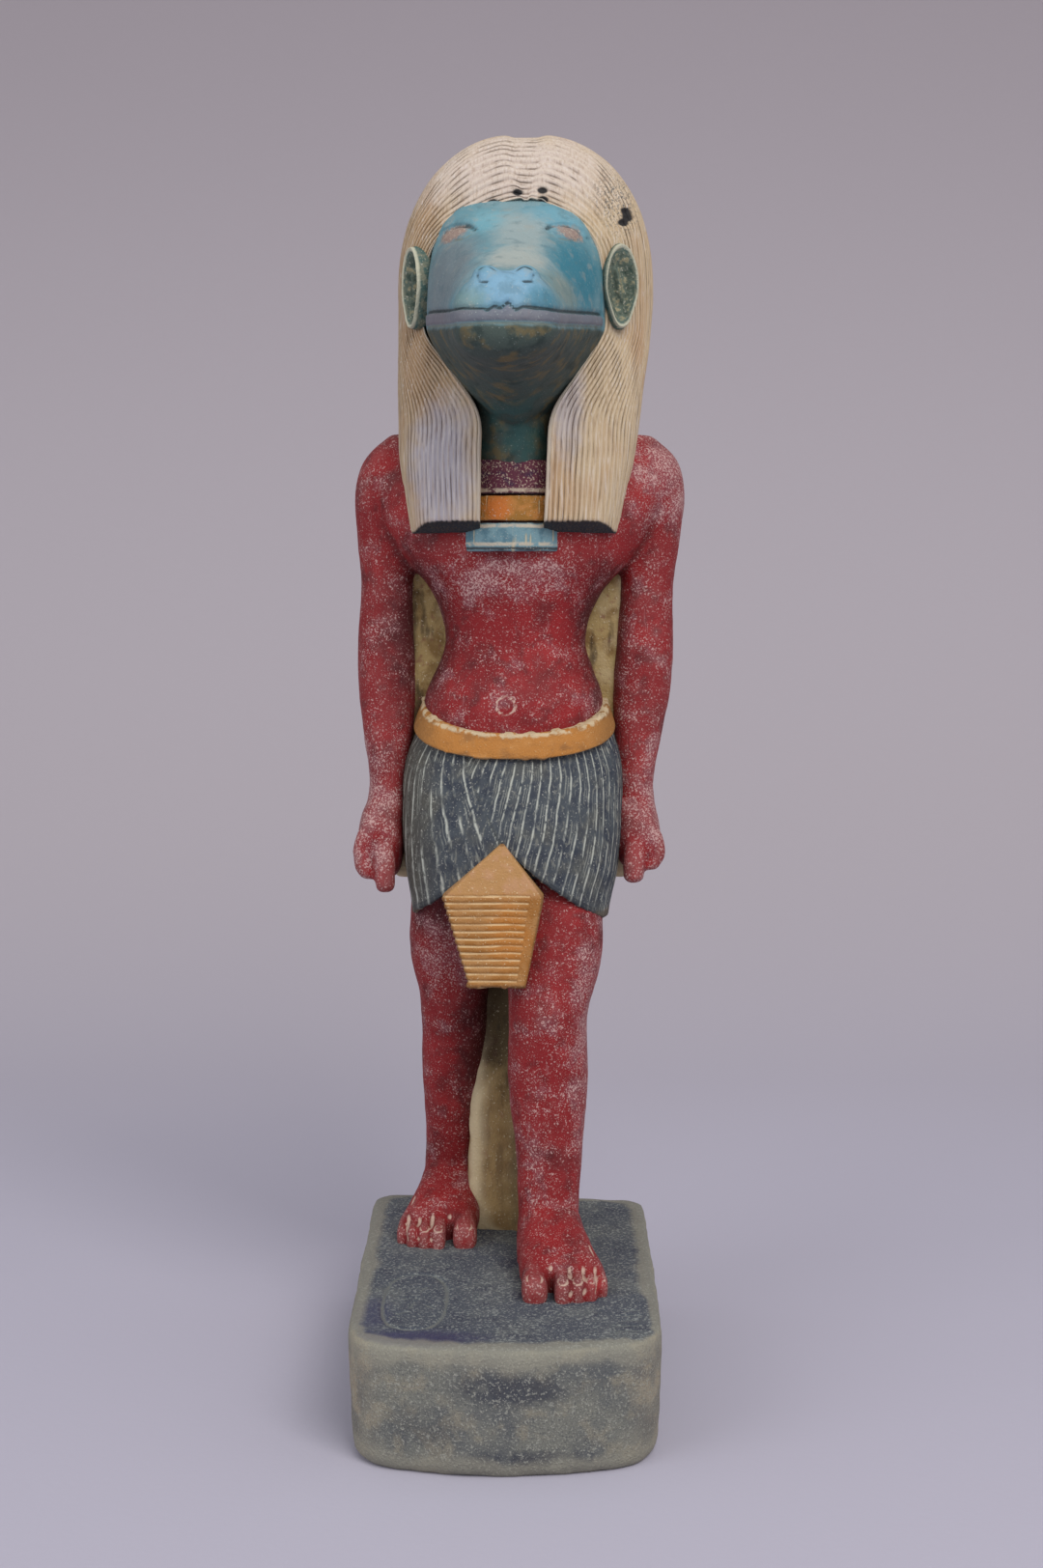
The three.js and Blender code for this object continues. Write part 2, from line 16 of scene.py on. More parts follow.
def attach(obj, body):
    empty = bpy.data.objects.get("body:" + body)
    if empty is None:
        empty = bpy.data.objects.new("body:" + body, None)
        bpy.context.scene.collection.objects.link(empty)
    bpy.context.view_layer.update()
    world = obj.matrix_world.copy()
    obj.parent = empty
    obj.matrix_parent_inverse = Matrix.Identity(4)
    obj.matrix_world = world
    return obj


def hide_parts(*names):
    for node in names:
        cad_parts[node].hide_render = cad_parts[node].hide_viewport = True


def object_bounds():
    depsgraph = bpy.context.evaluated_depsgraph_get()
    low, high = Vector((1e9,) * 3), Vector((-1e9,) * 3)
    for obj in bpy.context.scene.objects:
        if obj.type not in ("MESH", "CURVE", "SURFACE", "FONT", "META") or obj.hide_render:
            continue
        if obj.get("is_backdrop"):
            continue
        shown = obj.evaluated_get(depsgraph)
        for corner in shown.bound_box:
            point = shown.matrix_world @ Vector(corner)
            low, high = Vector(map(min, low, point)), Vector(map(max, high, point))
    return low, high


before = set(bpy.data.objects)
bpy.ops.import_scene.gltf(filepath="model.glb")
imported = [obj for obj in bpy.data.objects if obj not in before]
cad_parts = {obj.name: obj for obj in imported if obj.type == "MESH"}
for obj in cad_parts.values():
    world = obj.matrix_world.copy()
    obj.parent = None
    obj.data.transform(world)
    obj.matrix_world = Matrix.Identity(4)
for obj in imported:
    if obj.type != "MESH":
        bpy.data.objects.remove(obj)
bpy.context.view_layer.update()
solid_box = [list(corner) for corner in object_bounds()]
print("solid's box in metres:", solid_box)

# %% [markdown]
# Most of the forms are lofts: sections of different sizes, one above the other, joined by a
# smooth skin. A few rows of numbers say how wide and deep the form is at some heights, and a
# Catmull-Rom curve fills in the heights between them, which is how the solid was made too.

# %% Smooth curves through rows of sizes
def lerp(a, b, t):
    return a + (b - a) * t


def smooth(t):
    t = np.clip(t, 0, 1)
    return t * t * (3 - 2 * t)


def power(v, p):
    return np.sign(v) * np.abs(v) ** p


def along(rows, t):
    rows = np.asarray(rows, float)
    last = len(rows) - 1
    t = np.clip(np.atleast_1d(t), 0, 1) * last
    i = np.minimum(last - 1, np.floor(t)).astype(int)
    u = (t - i)[:, None]
    a, b, c, d = (rows[np.clip(i + k, 0, last)] for k in (-1, 0, 1, 2))
    return b + 0.5 * u * (c - a + u * (2 * a - 5 * b + 4 * c - d + u * (3 * (b - c) + d - a)))


def row_at(rows, value):
    dense = along(rows, np.linspace(0, 1, 600))
    if dense[0, 0] > dense[-1, 0]:
        dense = dense[::-1]
    return np.stack([np.interp(value, dense[:, 0], column) for column in dense.T], -1)


def middle_x(z):
    return lerp(0.6, 3.5, (z - 140) / 100)


print("a curve through 0, 1, 0 at its quarters:", along([[0], [1], [0]], [0, 0.25, 0.5]).ravel())

# %% [markdown]
# A loft starts as a capped cylinder. Its walls are cut into rings with subdivide_edges, and every
# vertex is then moved to its place. The cylinder's faces and closed caps stay, so the skin is
# closed without any list of faces. All sizes are in millimetres until the piece is finished.

# %% Reshaping a subdivided cylinder
def points(mesh):
    flat = np.empty(len(mesh.vertices) * 3)
    mesh.vertices.foreach_get("co", flat)
    return flat.reshape(-1, 3)


def move_points(mesh, places):
    mesh.vertices.foreach_set("co", np.asarray(places, float).ravel())
    mesh.update()


def keep(mesh, name, values):
    held = mesh.attributes.get(name) or mesh.attributes.new(name, "FLOAT", "POINT")
    held.data.foreach_set("value", np.asarray(values, np.float32))


def kept(mesh, name):
    values = np.zeros(len(mesh.vertices), np.float32)
    if name in mesh.attributes:
        mesh.attributes[name].data.foreach_get("value", values)
    return values.astype(float)


def oval(angle, across, up, down, squareness):
    c, s = np.cos(angle), np.sin(angle)
    return across * power(c, 2 / squareness), np.where(s < 0, down, up) * power(s, 2 / squareness)


def loft(sides, rings, place):
    bm = bmesh.new()
    bmesh.ops.create_cone(bm, cap_ends=True, cap_tris=True, segments=sides, radius1=1, radius2=1, depth=1)
    walls = [e for e in bm.edges if abs(e.verts[0].co.z - e.verts[1].co.z) > 0.5]
    if rings > 1:
        bmesh.ops.subdivide_edges(bm, edges=walls, cuts=rings - 1)
    mesh = bpy.data.meshes.new("loft")
    bm.to_mesh(mesh)
    bm.free()
    at = points(mesh)
    ring = np.rint((at[:, 2] + 0.5) * rings).astype(int)
    side = np.rint(np.arctan2(at[:, 0], at[:, 1]) / (2 * math.pi) * sides).astype(int) % sides
    there = np.stack(place(side, ring), -1)
    for centre in np.flatnonzero(np.hypot(at[:, 0], at[:, 1]) < 0.5):
        rim = ring == ring[centre]
        rim[centre] = False
        there[centre] = there[rim].mean(0)
    move_points(mesh, there)
    keep(mesh, "side", side)
    keep(mesh, "ring", ring)
    return mesh


def upright(rows, sides, rings):
    def place(side, ring):
        angle = side / sides * 2 * math.pi
        z, x, y, half, front, back, squareness = along(rows, ring / rings).T
        dx, dy = oval(angle, half, back, front, squareness)
        return x + dx, y + dy, z

    return loft(sides, rings, place)


def lying(rows, sides, rings):
    def place(side, ring):
        angle = side / sides * 2 * math.pi
        y, x, z, half, rise, fall, squareness = along(rows, ring / rings).T
        dx, dz = oval(angle, half, rise, fall, squareness)
        return x + dx, y, z + dz

    return loft(sides, rings, place)


def block(x0, x1, y0, y1, z0, z1):
    bm = bmesh.new()
    bmesh.ops.create_cube(bm, size=1)
    bmesh.ops.scale(bm, vec=(x1 - x0, y1 - y0, z1 - z0), verts=bm.verts)
    bmesh.ops.translate(bm, vec=((x0 + x1) / 2, (y0 + y1) / 2, (z0 + z1) / 2), verts=bm.verts)
    mesh = bpy.data.meshes.new("block")
    bm.to_mesh(mesh)
    bm.free()
    return mesh


# %% [markdown]
# Forms that run into each other, such as an arm and its shoulder, are joined with a voxel remesh:
# it wraps all the closed forms in one even skin. A few rounds of smoothing then take off the
# stair steps, and leave the soft corners that a carver's file leaves.

# %% Joining forms into one skin
def join(meshes):
    bm = bmesh.new()
    for mesh in meshes:
        bm.from_mesh(mesh)
        bpy.data.meshes.remove(mesh)
    bmesh.ops.recalc_face_normals(bm, faces=bm.faces)
    joined = bpy.data.meshes.new("joined")
    bm.to_mesh(joined)
    bm.free()
    return joined


def one_skin(meshes, voxel, rounds):
    piece = bpy.data.objects.new("forms", join(meshes))
    bpy.context.scene.collection.objects.link(piece)
    remesh = piece.modifiers.new("one skin", "REMESH")
    remesh.mode = "VOXEL"
    remesh.voxel_size = voxel
    skin = bpy.data.meshes.new_from_object(piece.evaluated_get(bpy.context.evaluated_depsgraph_get()))
    bpy.data.objects.remove(piece)
    places = points(skin)
    for _ in range(rounds):
        places = neighbours_mean(skin, places)
    move_points(skin, places)
    return skin


def ends(mesh):
    pairs = np.empty(len(mesh.edges) * 2, int)
    mesh.edges.foreach_get("vertices", pairs)
    return pairs.reshape(-1, 2)


def neighbours_mean(mesh, values):
    pairs = ends(mesh)
    values = np.asarray(values, float)
    columns = values.reshape(len(values), -1)
    count = np.bincount(pairs.ravel(), minlength=len(values))
    mean = np.stack(
        [
            np.bincount(pairs[:, 0], column[pairs[:, 1]], len(values))
            + np.bincount(pairs[:, 1], column[pairs[:, 0]], len(values))
            for column in columns.T
        ],
        -1,
    )
    return (0.4 * columns + 0.6 * mean / np.maximum(count, 1)[:, None]).reshape(values.shape)


def outward(mesh):
    flat = np.empty(len(mesh.vertices) * 3)
    mesh.vertices.foreach_get("normal", flat)
    return flat.reshape(-1, 3)


# %% [markdown]
# Hand work is never even. This noise is worked out from the place itself, so it is the same in
# every run. It makes faces a little wavy, lets grooves wander, and chips edges.

# %% Noise for uneven hand work
def noise(places, size, seed=0):
    at = np.asarray(places, float) / size + seed * 17.31
    cell = np.floor(at)
    share = smooth(at - cell)
    total = np.zeros(len(at))
    for corner in np.ndindex(2, 2, 2):
        key = (cell + corner) @ (127.1, 311.7, 74.7)
        value = np.sin(key) * 43758.5453
        weight = np.prod(np.where(corner, share, 1 - share), axis=1)
        total += (value - np.floor(value)) * weight
    return 2 * total - 1


def roughen(mesh, amount, size, seed=0):
    places = points(mesh)
    wave = noise(places, size, seed) + 0.5 * noise(places, size / 2.3, seed + 1)
    move_points(mesh, places + outward(mesh) * (amount * wave)[:, None])


# %% [markdown]
# Carved strokes are cut along short paths: each vertex near a path sinks, deepest on the path.
# How near it was is kept as an attribute, and the paint reads that, since chalky dirt and bare
# stone show in the strokes.

# %% Cutting strokes and keeping them as attributes
def distance(places, path):
    path = np.asarray(path, float)
    nearest = np.full(len(places), 1e9)
    low, high = path.min(0) - 3, path.max(0) + 3
    close = np.flatnonzero(((places > low) & (places < high)).all(1))
    for a, b in zip(path[:-1], path[1:]):
        run = b - a
        share = np.clip((places[close] - a) @ run / max(run @ run, 1e-9), 0, 1)
        gap = np.linalg.norm(places[close] - a - share[:, None] * run, axis=1)
        nearest[close] = np.minimum(nearest[close], gap)
    return nearest


def cut(mesh, paths, width, depth, name="cut"):
    places = points(mesh)
    deepest = np.zeros(len(places))
    for path in paths:
        wander = 1 + 0.35 * noise(places, 2.5, 3)
        deepest = np.maximum(deepest, np.exp(-((distance(places, path) / (width * wander)) ** 2)))
    move_points(mesh, places - outward(mesh) * (deepest * depth)[:, None])
    keep(mesh, name, np.maximum(kept(mesh, name), deepest))


def swell(mesh, centre, radii, height):
    places = points(mesh)
    gap = ((places - centre) / radii) ** 2
    move_points(mesh, places + outward(mesh) * (height * np.exp(-gap.sum(1)))[:, None])


def arc(x, y, z, across, up, start, stop, steps=14):
    angles = np.radians(np.linspace(start, stop, steps))
    return np.stack([x + across * np.cos(angles), np.full(steps, float(y)), z + up * np.sin(angles)], -1)


def on_front(mesh, path):
    places = points(mesh)
    facing = np.flatnonzero(outward(mesh)[:, 1] < -0.05)
    found = []
    for x, z in path:
        gap = np.hypot(places[facing, 0] - x, places[facing, 2] - z)
        near = facing[gap < max(0.7, gap.min() + 0.05)]
        found.append((x, places[near, 1].min(), z))
    return found


def keep_hollows(mesh):
    places = points(mesh)
    softened = places
    for _ in range(12):
        softened = neighbours_mean(mesh, softened)
    depth = ((softened - places) * outward(mesh)).sum(1)
    for _ in range(3):
        depth = neighbours_mean(mesh, depth)
    keep(mesh, "hollow", depth)


# %% [markdown]
# A finished piece rides on the root body and stands for the imported solid, which it hides. It is
# turned from millimetres to metres here, in its mesh.

# %% Finishing a piece
pieces = {}


def finish_piece(name, mesh, shade=True):
    keep_hollows(mesh)
    for helper in ("side", "ring"):
        if helper in mesh.attributes:
            mesh.attributes.remove(mesh.attributes[helper])
    bm = bmesh.new()
    bm.from_mesh(mesh)
    bmesh.ops.recalc_face_normals(bm, faces=bm.faces)
    bmesh.ops.scale(bm, vec=(0.001, 0.001, 0.001), verts=bm.verts)
    for face in bm.faces:
        face.smooth = shade
    bm.to_mesh(mesh)
    bm.free()
    mesh.name = name
    piece = bpy.data.objects.new(name, mesh)
    bpy.context.scene.collection.objects.link(piece)
    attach(piece, "root")
    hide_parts("statue")
    pieces[name] = piece
    triangles = sum(len(face.vertices) - 2 for face in mesh.polygons)
    print(f"{name}: {triangles} triangles")
    return piece


# %% [markdown]
# The camera comes early, because every later picture is judged through it. The photograph was
# taken from about half a metre in front, a little above the figure's middle, looking slightly
# down. The lens is given by the picture's long side.

# %% Camera
FOCAL_PIXELS = 2079
LONG_SIDE = 1624
camera_data = bpy.data.cameras.new("camera")
camera_data.sensor_width = 36
camera_data.sensor_fit = "AUTO"
camera_data.lens = FOCAL_PIXELS / LONG_SIDE * 36
camera = bpy.data.objects.new("camera", camera_data)
camera.location = (0.0039, -0.5235, 0.204)
camera.rotation_euler = (math.radians(90 - 4.73), 0, 0)
bpy.context.scene.collection.objects.link(camera)
bpy.context.scene.camera = camera
print("lens in mm:", round(camera_data.lens, 2))

# %% [markdown]
# The base is nearly square behind. Its front bows between rounder corners, and its walls lean in
# a little towards the floor. On its top there is an oval ring with short plain strokes in it, and
# a few more strokes lie beside the front foot.

# %% Base
BASE_HEIGHT = 32
BASE_FRONT = 63
BASE_HALF = 40


def base_outline(steps):
    corners = [
        ((38.5, -42), (40, 54), 1),
        ((40, 54), (40, 62), (32, 62)),
        ((32, 62), (-32, 67.5), 1),
        ((-32, 67.5), (-40, 67.5), (-40, 59.5)),
        ((-40, 59.5), (-38.5, -42), 1),
        ((-38.5, -42), (-38.5, -57.4), (-24.5, -59.5)),
        ((-24.5, -59.5), (0, -66.5), (24.5, -59.5)),
        ((24.5, -59.5), (38.5, -57.4), (38.5, -42)),
    ]
    t = np.linspace(0, 1, steps, endpoint=False)[:, None]
    run = []
    for a, b, c in corners:
        a, b = np.array(a, float), np.array(b, float)
        if c == 1:
            run.append(lerp(a, b, t))
        else:
            run.append(lerp(lerp(a, b, t), lerp(b, np.array(c, float), t), t))
    return np.concatenate(run)


def base_mesh():
    outline = base_outline(16)
    heights = np.concatenate([np.linspace(0, 2, 3), np.linspace(4, 31.2, 16), [31.6, 31.9, 32]])
    insets = np.interp(heights, [0, 2, 16, 31.2, 31.6, 31.9, 32], [2.2, 1, 0.3, 0, 0.1, 0.4, 0.9])

    def place(side, ring):
        x, y = outline[side].T
        inset = insets[ring]
        return x * (1 - inset / BASE_HALF), y * (1 - inset / BASE_FRONT), heights[ring]

    return loft(len(outline), len(heights) - 1, place)


def finer(mesh, boxes, cuts):
    bm = bmesh.new()
    bm.from_mesh(mesh)
    for low, high in boxes:
        inside = [
            e for e in bm.edges if all(all(low[k] <= v.co[k] <= high[k] for k in range(3)) for v in e.verts)
        ]
        bmesh.ops.subdivide_edges(bm, edges=inside, cuts=cuts, use_grid_fill=True)
    bmesh.ops.triangulate(bm, faces=bm.faces)
    bm.to_mesh(mesh)
    bm.free()


base = one_skin([base_mesh()], 1.35, 2)
finer(base, [((-35, -53, 31), (-11, -4, 33)), ((23, -56, 31), (37, -26, 33))], 2)
places = points(base)
side_wall = smooth((31.5 - places[:, 2]) / 1.5) * smooth(places[:, 2] / 2)
push = side_wall * (0.32 * noise(places, 14, 2) + 0.16 * noise(places, 5, 4))
push += 0.12 * noise(places, 3.4, 6) * smooth(places[:, 2] / 3)
move_points(base, places + outward(base) * push[:, None])

RING_X, RING_Y, RING_HALF, RING_LENGTH = -23, -28.5, 8.0, 20.2
turns = np.radians(np.linspace(0, 360, 61))
ring_x = RING_X + RING_HALF * power(np.cos(turns), 0.75)
ring_y = RING_Y + RING_LENGTH * power(np.sin(turns), 0.75)
ring = np.stack([ring_x, ring_y, np.full(61, BASE_HEIGHT)], -1)
cut(base, [ring], 0.6, 0.55)


def flat_strokes(starts, runs):
    made = []
    for (x, y), (dx, dy) in zip(starts, runs):
        made.append([(x, y, BASE_HEIGHT), (x + dx / 2, y + dy / 2 + 0.3, BASE_HEIGHT), (x + dx, y + dy, BASE_HEIGHT)])
    return made


in_ring = flat_strokes(
    [(-27, -38), (-24, -34), (-20.5, -31), (-26, -27), (-22, -22), (-25.5, -18)],
    [(3, 1.5), (1, 5), (2.2, -3), (3.5, 0.6), (1.5, 4), (4, -1)],
)
beside_foot = flat_strokes(
    [(27.5, -50), (28, -46.5), (28.5, -43), (29, -39.5), (29.5, -36), (26.5, -52)],
    [(4.5, 0.5), (5, 0.3), (4, 0.6), (4.6, 0.2), (3.4, 0.5), (1.4, 3)],
)
cut(base, in_ring + beside_foot, 0.4, 0.35)
finish_piece("base", base)

# %% [markdown]
# The legs, feet and toes are separate lofts that are wrapped in one skin. The figure's own left
# leg strides ahead. Kneecaps, the gaps between the toes, the toenails and the scratches that the
# tool left are cut afterwards, where the skin is dense enough.

# %% Legs and feet
FOOT_SUNK = 1.6
FOOT_AHEAD = 35
BACK_ANKLE = (-15.8, 48)
FRONT_ANKLE = (11.2, 4)
BACK_LEG = [
    (30, -16.2, 47.5, 8.4, 8.6, 8.8, 2.2),
    (38, -16.2, 47.5, 7.8, 8.2, 8.6, 2.2),
    (48, -16.1, 47, 7.8, 7.8, 8.4, 2.2),
    (60, -15.6, 44, 8, 8.4, 8.6, 2.2),
    (80, -15.1, 39, 9.2, 9.6, 12, 2.2),
    (97, -15.0, 35, 9.4, 10.6, 11.5, 2.4),
    (111, -15.2, 34, 12, 12.5, 13, 2.4),
    (130, -13.2, 33, 13.4, 16, 15, 2.3),
    (141, -12.4, 32, 12.6, 15, 14, 2.3),
]
FRONT_LEG = [
    (30, 11.2, 4, 8.6, 9.4, 9.4, 2.2),
    (38, 11.2, 4, 8, 9, 9.2, 2.2),
    (48, 11.2, 5, 8.2, 8.6, 8.8, 2.2),
    (60, 11.3, 7, 8.8, 9, 9.5, 2.2),
    (80, 11.0, 10, 10.7, 10, 13, 2.2),
    (97, 11.2, 13, 10.6, 13, 11.5, 2.4),
    (112, 12.8, 16.5, 12.8, 14, 13, 2.4),
    (128, 12.9, 22, 12.8, 15, 15, 2.2),
    (141, 12.4, 26, 11.4, 13.5, 15, 2.2),
]
TOES = [(-4.0, 3.3, 7.4, 0), (3.1, 2.05, 6.6, 0.4), (6.9, 1.9, 6.2, -0.3), (10.3, 1.75, 5.8, -1.6), (13.2, 1.6, 5.2, -4.4)]


def foot(ankle, outward_side):
    x, y = ankle
    floor = BASE_HEIGHT - FOOT_SUNK

    def tread(dy, dx, half, top):
        height = top + FOOT_SUNK
        return y + dy, x + outward_side * dx, floor + height * 0.4, half, height * 0.6, height * 0.4, 2.6

    sole = lying(
        [
            tread(10.8, 0, 4, 7.4),
            tread(8, 0, 7.4, 13.4),
            tread(0, 0, 8.4, 19.4),
            tread(-9, 0.8, 9.2, 16.4),
            tread(-17, 2.2, 10.2, 12),
            tread(-24, 3.6, 10.8, 8.4),
            tread(-26.5, 4.2, 10.2, 6.2),
        ],
        48,
        60,
    )
    toes = []
    for dx, half, height, reach in TOES:
        tip = y - FOOT_AHEAD - reach
        at = x + outward_side * dx
        toes.append(
            lying(
                [
                    (tip, at, BASE_HEIGHT + 1.4, half * 0.4, height * 0.22, 2.4, 2.2),
                    (tip + 0.7, at, BASE_HEIGHT + 1.5, half * 0.85, height * 0.45, 3, 2.3),
                    (tip + 2.6, at, BASE_HEIGHT + 1.8, half, height * 0.6, 3.3, 2.4),
                    (tip + 6, at - outward_side * 0.1, BASE_HEIGHT + 2, half, height * 0.62, 3.4, 2.4),
                    (tip + 13, at - outward_side * dx * 0.09, BASE_HEIGHT + 2.4, half, height * 0.8, 3.6, 2.4),
                ],
                24,
                24,
            )
        )
    return [sole, *toes]


legs = one_skin(
    [upright(BACK_LEG, 72, 90), upright(FRONT_LEG, 72, 90), *foot(BACK_ANKLE, -1), *foot(FRONT_ANKLE, 1)], 0.62, 4
)
swell(legs, (10.2, 2, 99), (5, 6, 6), 0.7)
swell(legs, (-14, 24, 99), (5, 6, 6), 0.6)
swell(legs, (12, 20, 78), (9, 8, 14), 0.5)
roughen(legs, 0.16, 7, 21)
roughen(legs, 0.05, 2.2, 23)
front_knee = arc(10.2, -1.5, 99, 5.2, 6.2, -120, 100, 30)
back_knee = [(-23, 25, 99), (-21, 23.5, 95.5), (-18.5, 23, 93.5)]
back_crease = [(-17.9, 23, 97.2), (-13, 22.4, 96.8), (-8.6, 23, 97.4)]
cut(legs, [front_knee, back_knee, back_crease], 0.55, 0.3)


def toe_paths(ankle, outward_side):
    x, y = ankle
    gaps, nails = [], []
    for (dx, half, height, reach), (next_dx, next_half, _, next_reach) in zip(TOES[:-1], TOES[1:]):
        at = (dx + half + next_dx - next_half) / 2
        tip = y - FOOT_AHEAD - max(reach, next_reach)
        gaps.append(
            [
                (x + outward_side * at, tip - 1, BASE_HEIGHT + 1),
                (x + outward_side * at, tip + 4, BASE_HEIGHT + 4.6),
                (x + outward_side * at * 0.97, tip + 10, BASE_HEIGHT + 6.6),
                (x + outward_side * at * 0.9, tip + 16, BASE_HEIGHT + 9.6),
            ]
        )
    for dx, half, height, reach in TOES:
        tip = y - FOOT_AHEAD - reach
        turn = np.radians(np.linspace(-150, 150, 16))
        across = x + outward_side * dx + half * 0.62 * np.sin(turn)
        along_toe = tip + 2.6 - half * 0.75 * np.cos(turn)
        top = BASE_HEIGHT + 1.6 + height * 0.52 - 0.5 * np.cos(turn)
        nails.append(np.stack([across, along_toe, top], -1))
    return gaps, nails


for ankle, outward_side in ((BACK_ANKLE, -1), (FRONT_ANKLE, 1)):
    gaps, nails = toe_paths(ankle, outward_side)
    cut(legs, gaps, 0.6, 0.5)
    cut(legs, nails, 0.35, 0.22)
finish_piece("legs_and_feet", legs)

# %% [markdown]
# Torso, arms and fists are one skin too. Each fist is a rounded block with four fingers bent over
# it and a thumb that points down in front. The belly swells a little over the belt, the chest
# stands out under the wig, and a scratched ring marks the navel.

# %% Torso, arms and fists
BODY_Y = 32
ARM_REACH = 35.6
TORSO = [
    (150, 0, BODY_Y, 25, 19, 15, 2.4),
    (168, 0, BODY_Y, 25, 20.2, 16, 2.3),
    (182, 0, BODY_Y, 24.6, 19.2, 15.6, 2.4),
    (190, 0, BODY_Y, 21.6, 18.2, 15, 2.3),
    (197, 0, BODY_Y, 19.3, 17, 14.2, 2.3),
    (205, 0, BODY_Y, 20.6, 17.6, 14.4, 2.3),
    (213, 0, BODY_Y, 24.6, 19.2, 15, 2.4),
    (221, 0, BODY_Y, 31.5, 20.6, 15.8, 2.6),
    (231, 0, BODY_Y, 37.5, 20, 16, 2.7),
    (241, 0, BODY_Y + 1, 40.5, 17.5, 16, 2.7),
    (248, 0, BODY_Y + 2, 38, 13.5, 14.5, 2.5),
    (253.6, 0, BODY_Y + 2, 31, 9, 10, 2.3),
    (257, 0, BODY_Y + 2, 16, 5, 6, 2.2),
]
ARM = [
    (146, ARM_REACH - 0.4, 30.5, 5.9, 9.5, 9, 2.8),
    (153, ARM_REACH - 0.9, 31, 5.2, 7.4, 7.2, 2.5),
    (160, ARM_REACH - 1.3, 32, 5.1, 6.4, 6.4, 2.2),
    (172, ARM_REACH - 1.0, 34, 6.8, 7.4, 7.6, 2.2),
    (186, ARM_REACH - 0.4, 35.5, 8.0, 8.4, 8.6, 2.2),
    (199, ARM_REACH + 0.2, 36, 7.9, 8.6, 8.8, 2.2),
    (213, ARM_REACH + 0.2, 36, 7.3, 8.6, 8.6, 2.2),
    (226, ARM_REACH + 0.5, 36, 8.6, 9.6, 9.6, 2.2),
    (238, ARM_REACH + 0.6, 36, 9.1, 11.2, 11, 2.3),
    (247, ARM_REACH - 1.4, 36, 9, 10, 10, 2.2),
    (254, ARM_REACH - 5.5, 36, 6, 6.5, 6.5, 2.1),
]


def leaning(rows, side):
    return [(z, middle_x(z) + side * x, *rest) for z, x, *rest in rows]


def hand(side, drop):
    x = middle_x(140) + side * (ARM_REACH - 0.4)
    fist = [
        (131.5 - drop, x, 30.5, 3.4, 6, 6, 2.6),
        (134 - drop, x, 30.5, 5, 8.8, 9, 3),
        (142, x, 30.5, 6.2, 10.6, 10.4, 3),
        (148, x, 30.5, 6.1, 10.2, 9.8, 2.9),
        (154, x - side * 1.2, 31, 5.3, 8, 8, 2.6),
    ]
    made = [upright(fist, 48, 30)]
    for finger in range(4):
        y = 22.8 + finger * 5.1
        made.append(
            upright(
                [
                    (131.6 - drop, x + side * 2.8, y, 2.3, 1.9, 1.9, 2.2),
                    (134.5 - drop, x + side * 4.2, y, 2.8, 2.4, 2.4, 2.2),
                    (141, x + side * 4.8, y, 2.8, 2.4, 2.4, 2.2),
                    (146, x + side * 4, y, 2.3, 2.2, 2.2, 2.2),
                ],
                20,
                20,
            )
        )
    thumb_x = x - side * 1.4
    thumb = [
        (128.4 - drop, thumb_x, 19.6, 1.5, 1.4, 1.8, 2.2),
        (129.6 - drop, thumb_x, 19.5, 2.7, 2.4, 3, 2.4),
        (134, thumb_x, 19.3, 2.8, 2.5, 4, 2.4),
        (141, thumb_x + side * 0.4, 20.6, 2.9, 2.4, 5, 2.4),
        (150, thumb_x + side * 1.2, 25, 2.6, 2, 5, 2.2),
    ]
    made.append(upright(thumb, 24, 24))
    return made


body = one_skin(
    [
        upright(leaning(TORSO, 1), 120, 100),
        upright(leaning(ARM, -1), 64, 100),
        upright(leaning(ARM, 1), 64, 100),
        *hand(-1, -1),
        *hand(1, -3.6),
    ],
    0.74,
    5,
)
swell(body, (2, 14, 181), (14, 10, 7), 0.8)
swell(body, (-12, 14, 222), (11, 8, 7), 0.9)
swell(body, (17, 14, 222), (11, 8, 7), 0.9)
swell(body, (-38, 30, 186), (5, 8, 12), 0.4)
swell(body, (42, 30, 186), (5, 8, 12), 0.4)
roughen(body, 0.2, 9, 31)
roughen(body, 0.06, 2.4, 33)
navel = arc(-0.3, 12, 180.6, 2.6, 2.4, 0, 360, 24)
cut(body, [navel], 0.45, 0.25)
for side, drop in ((-1, -1), (1, -3.6)):
    thumb_x = middle_x(140) + side * (ARM_REACH - 1.8)
    nail = arc(thumb_x, 16.2, 131.6 - drop, 1.7, 2.0, 180, 360, 12)
    wrist = [(thumb_x - 4, 22, 156), (thumb_x, 22.5, 155.4), (thumb_x + 4, 23, 156.2)]
    knuckle = [(thumb_x - 3, 15.6, 140), (thumb_x, 15, 139.4), (thumb_x + 3, 15.6, 140)]
    cut(body, [nail, wrist, knuckle], 0.4, 0.22)
finish_piece("torso_and_arms", body)

# %% [markdown]
# The carver left stone standing behind the figure and between its limbs, because thin stone
# breaks. It is plain and a little rough: a pillar up the back, a web from each arm to the body,
# and a wall between the legs.

# %% Stone left between the limbs
between_legs = [(30, -1.5, 44, 10, 14.2, 12, 6), (80, -1, 45, 10, 12, 12, 6), (132, 0, 46, 12, 10, 12, 6)]
left_stone = one_skin(
    [
        block(-12.8, 17.2, 44, 59, 30, 236),
        block(-32, 35, 33.5, 43, 131.5, 226),
        upright(between_legs, 48, 20),
        block(3.6, 16.4, 10, 50, 30, 126),
    ],
    1.3,
    3,
)
roughen(left_stone, 0.25, 6, 41)
roughen(left_stone, 0.1, 2.5, 43)
finish_piece("back_pillar_and_webs", left_stone)

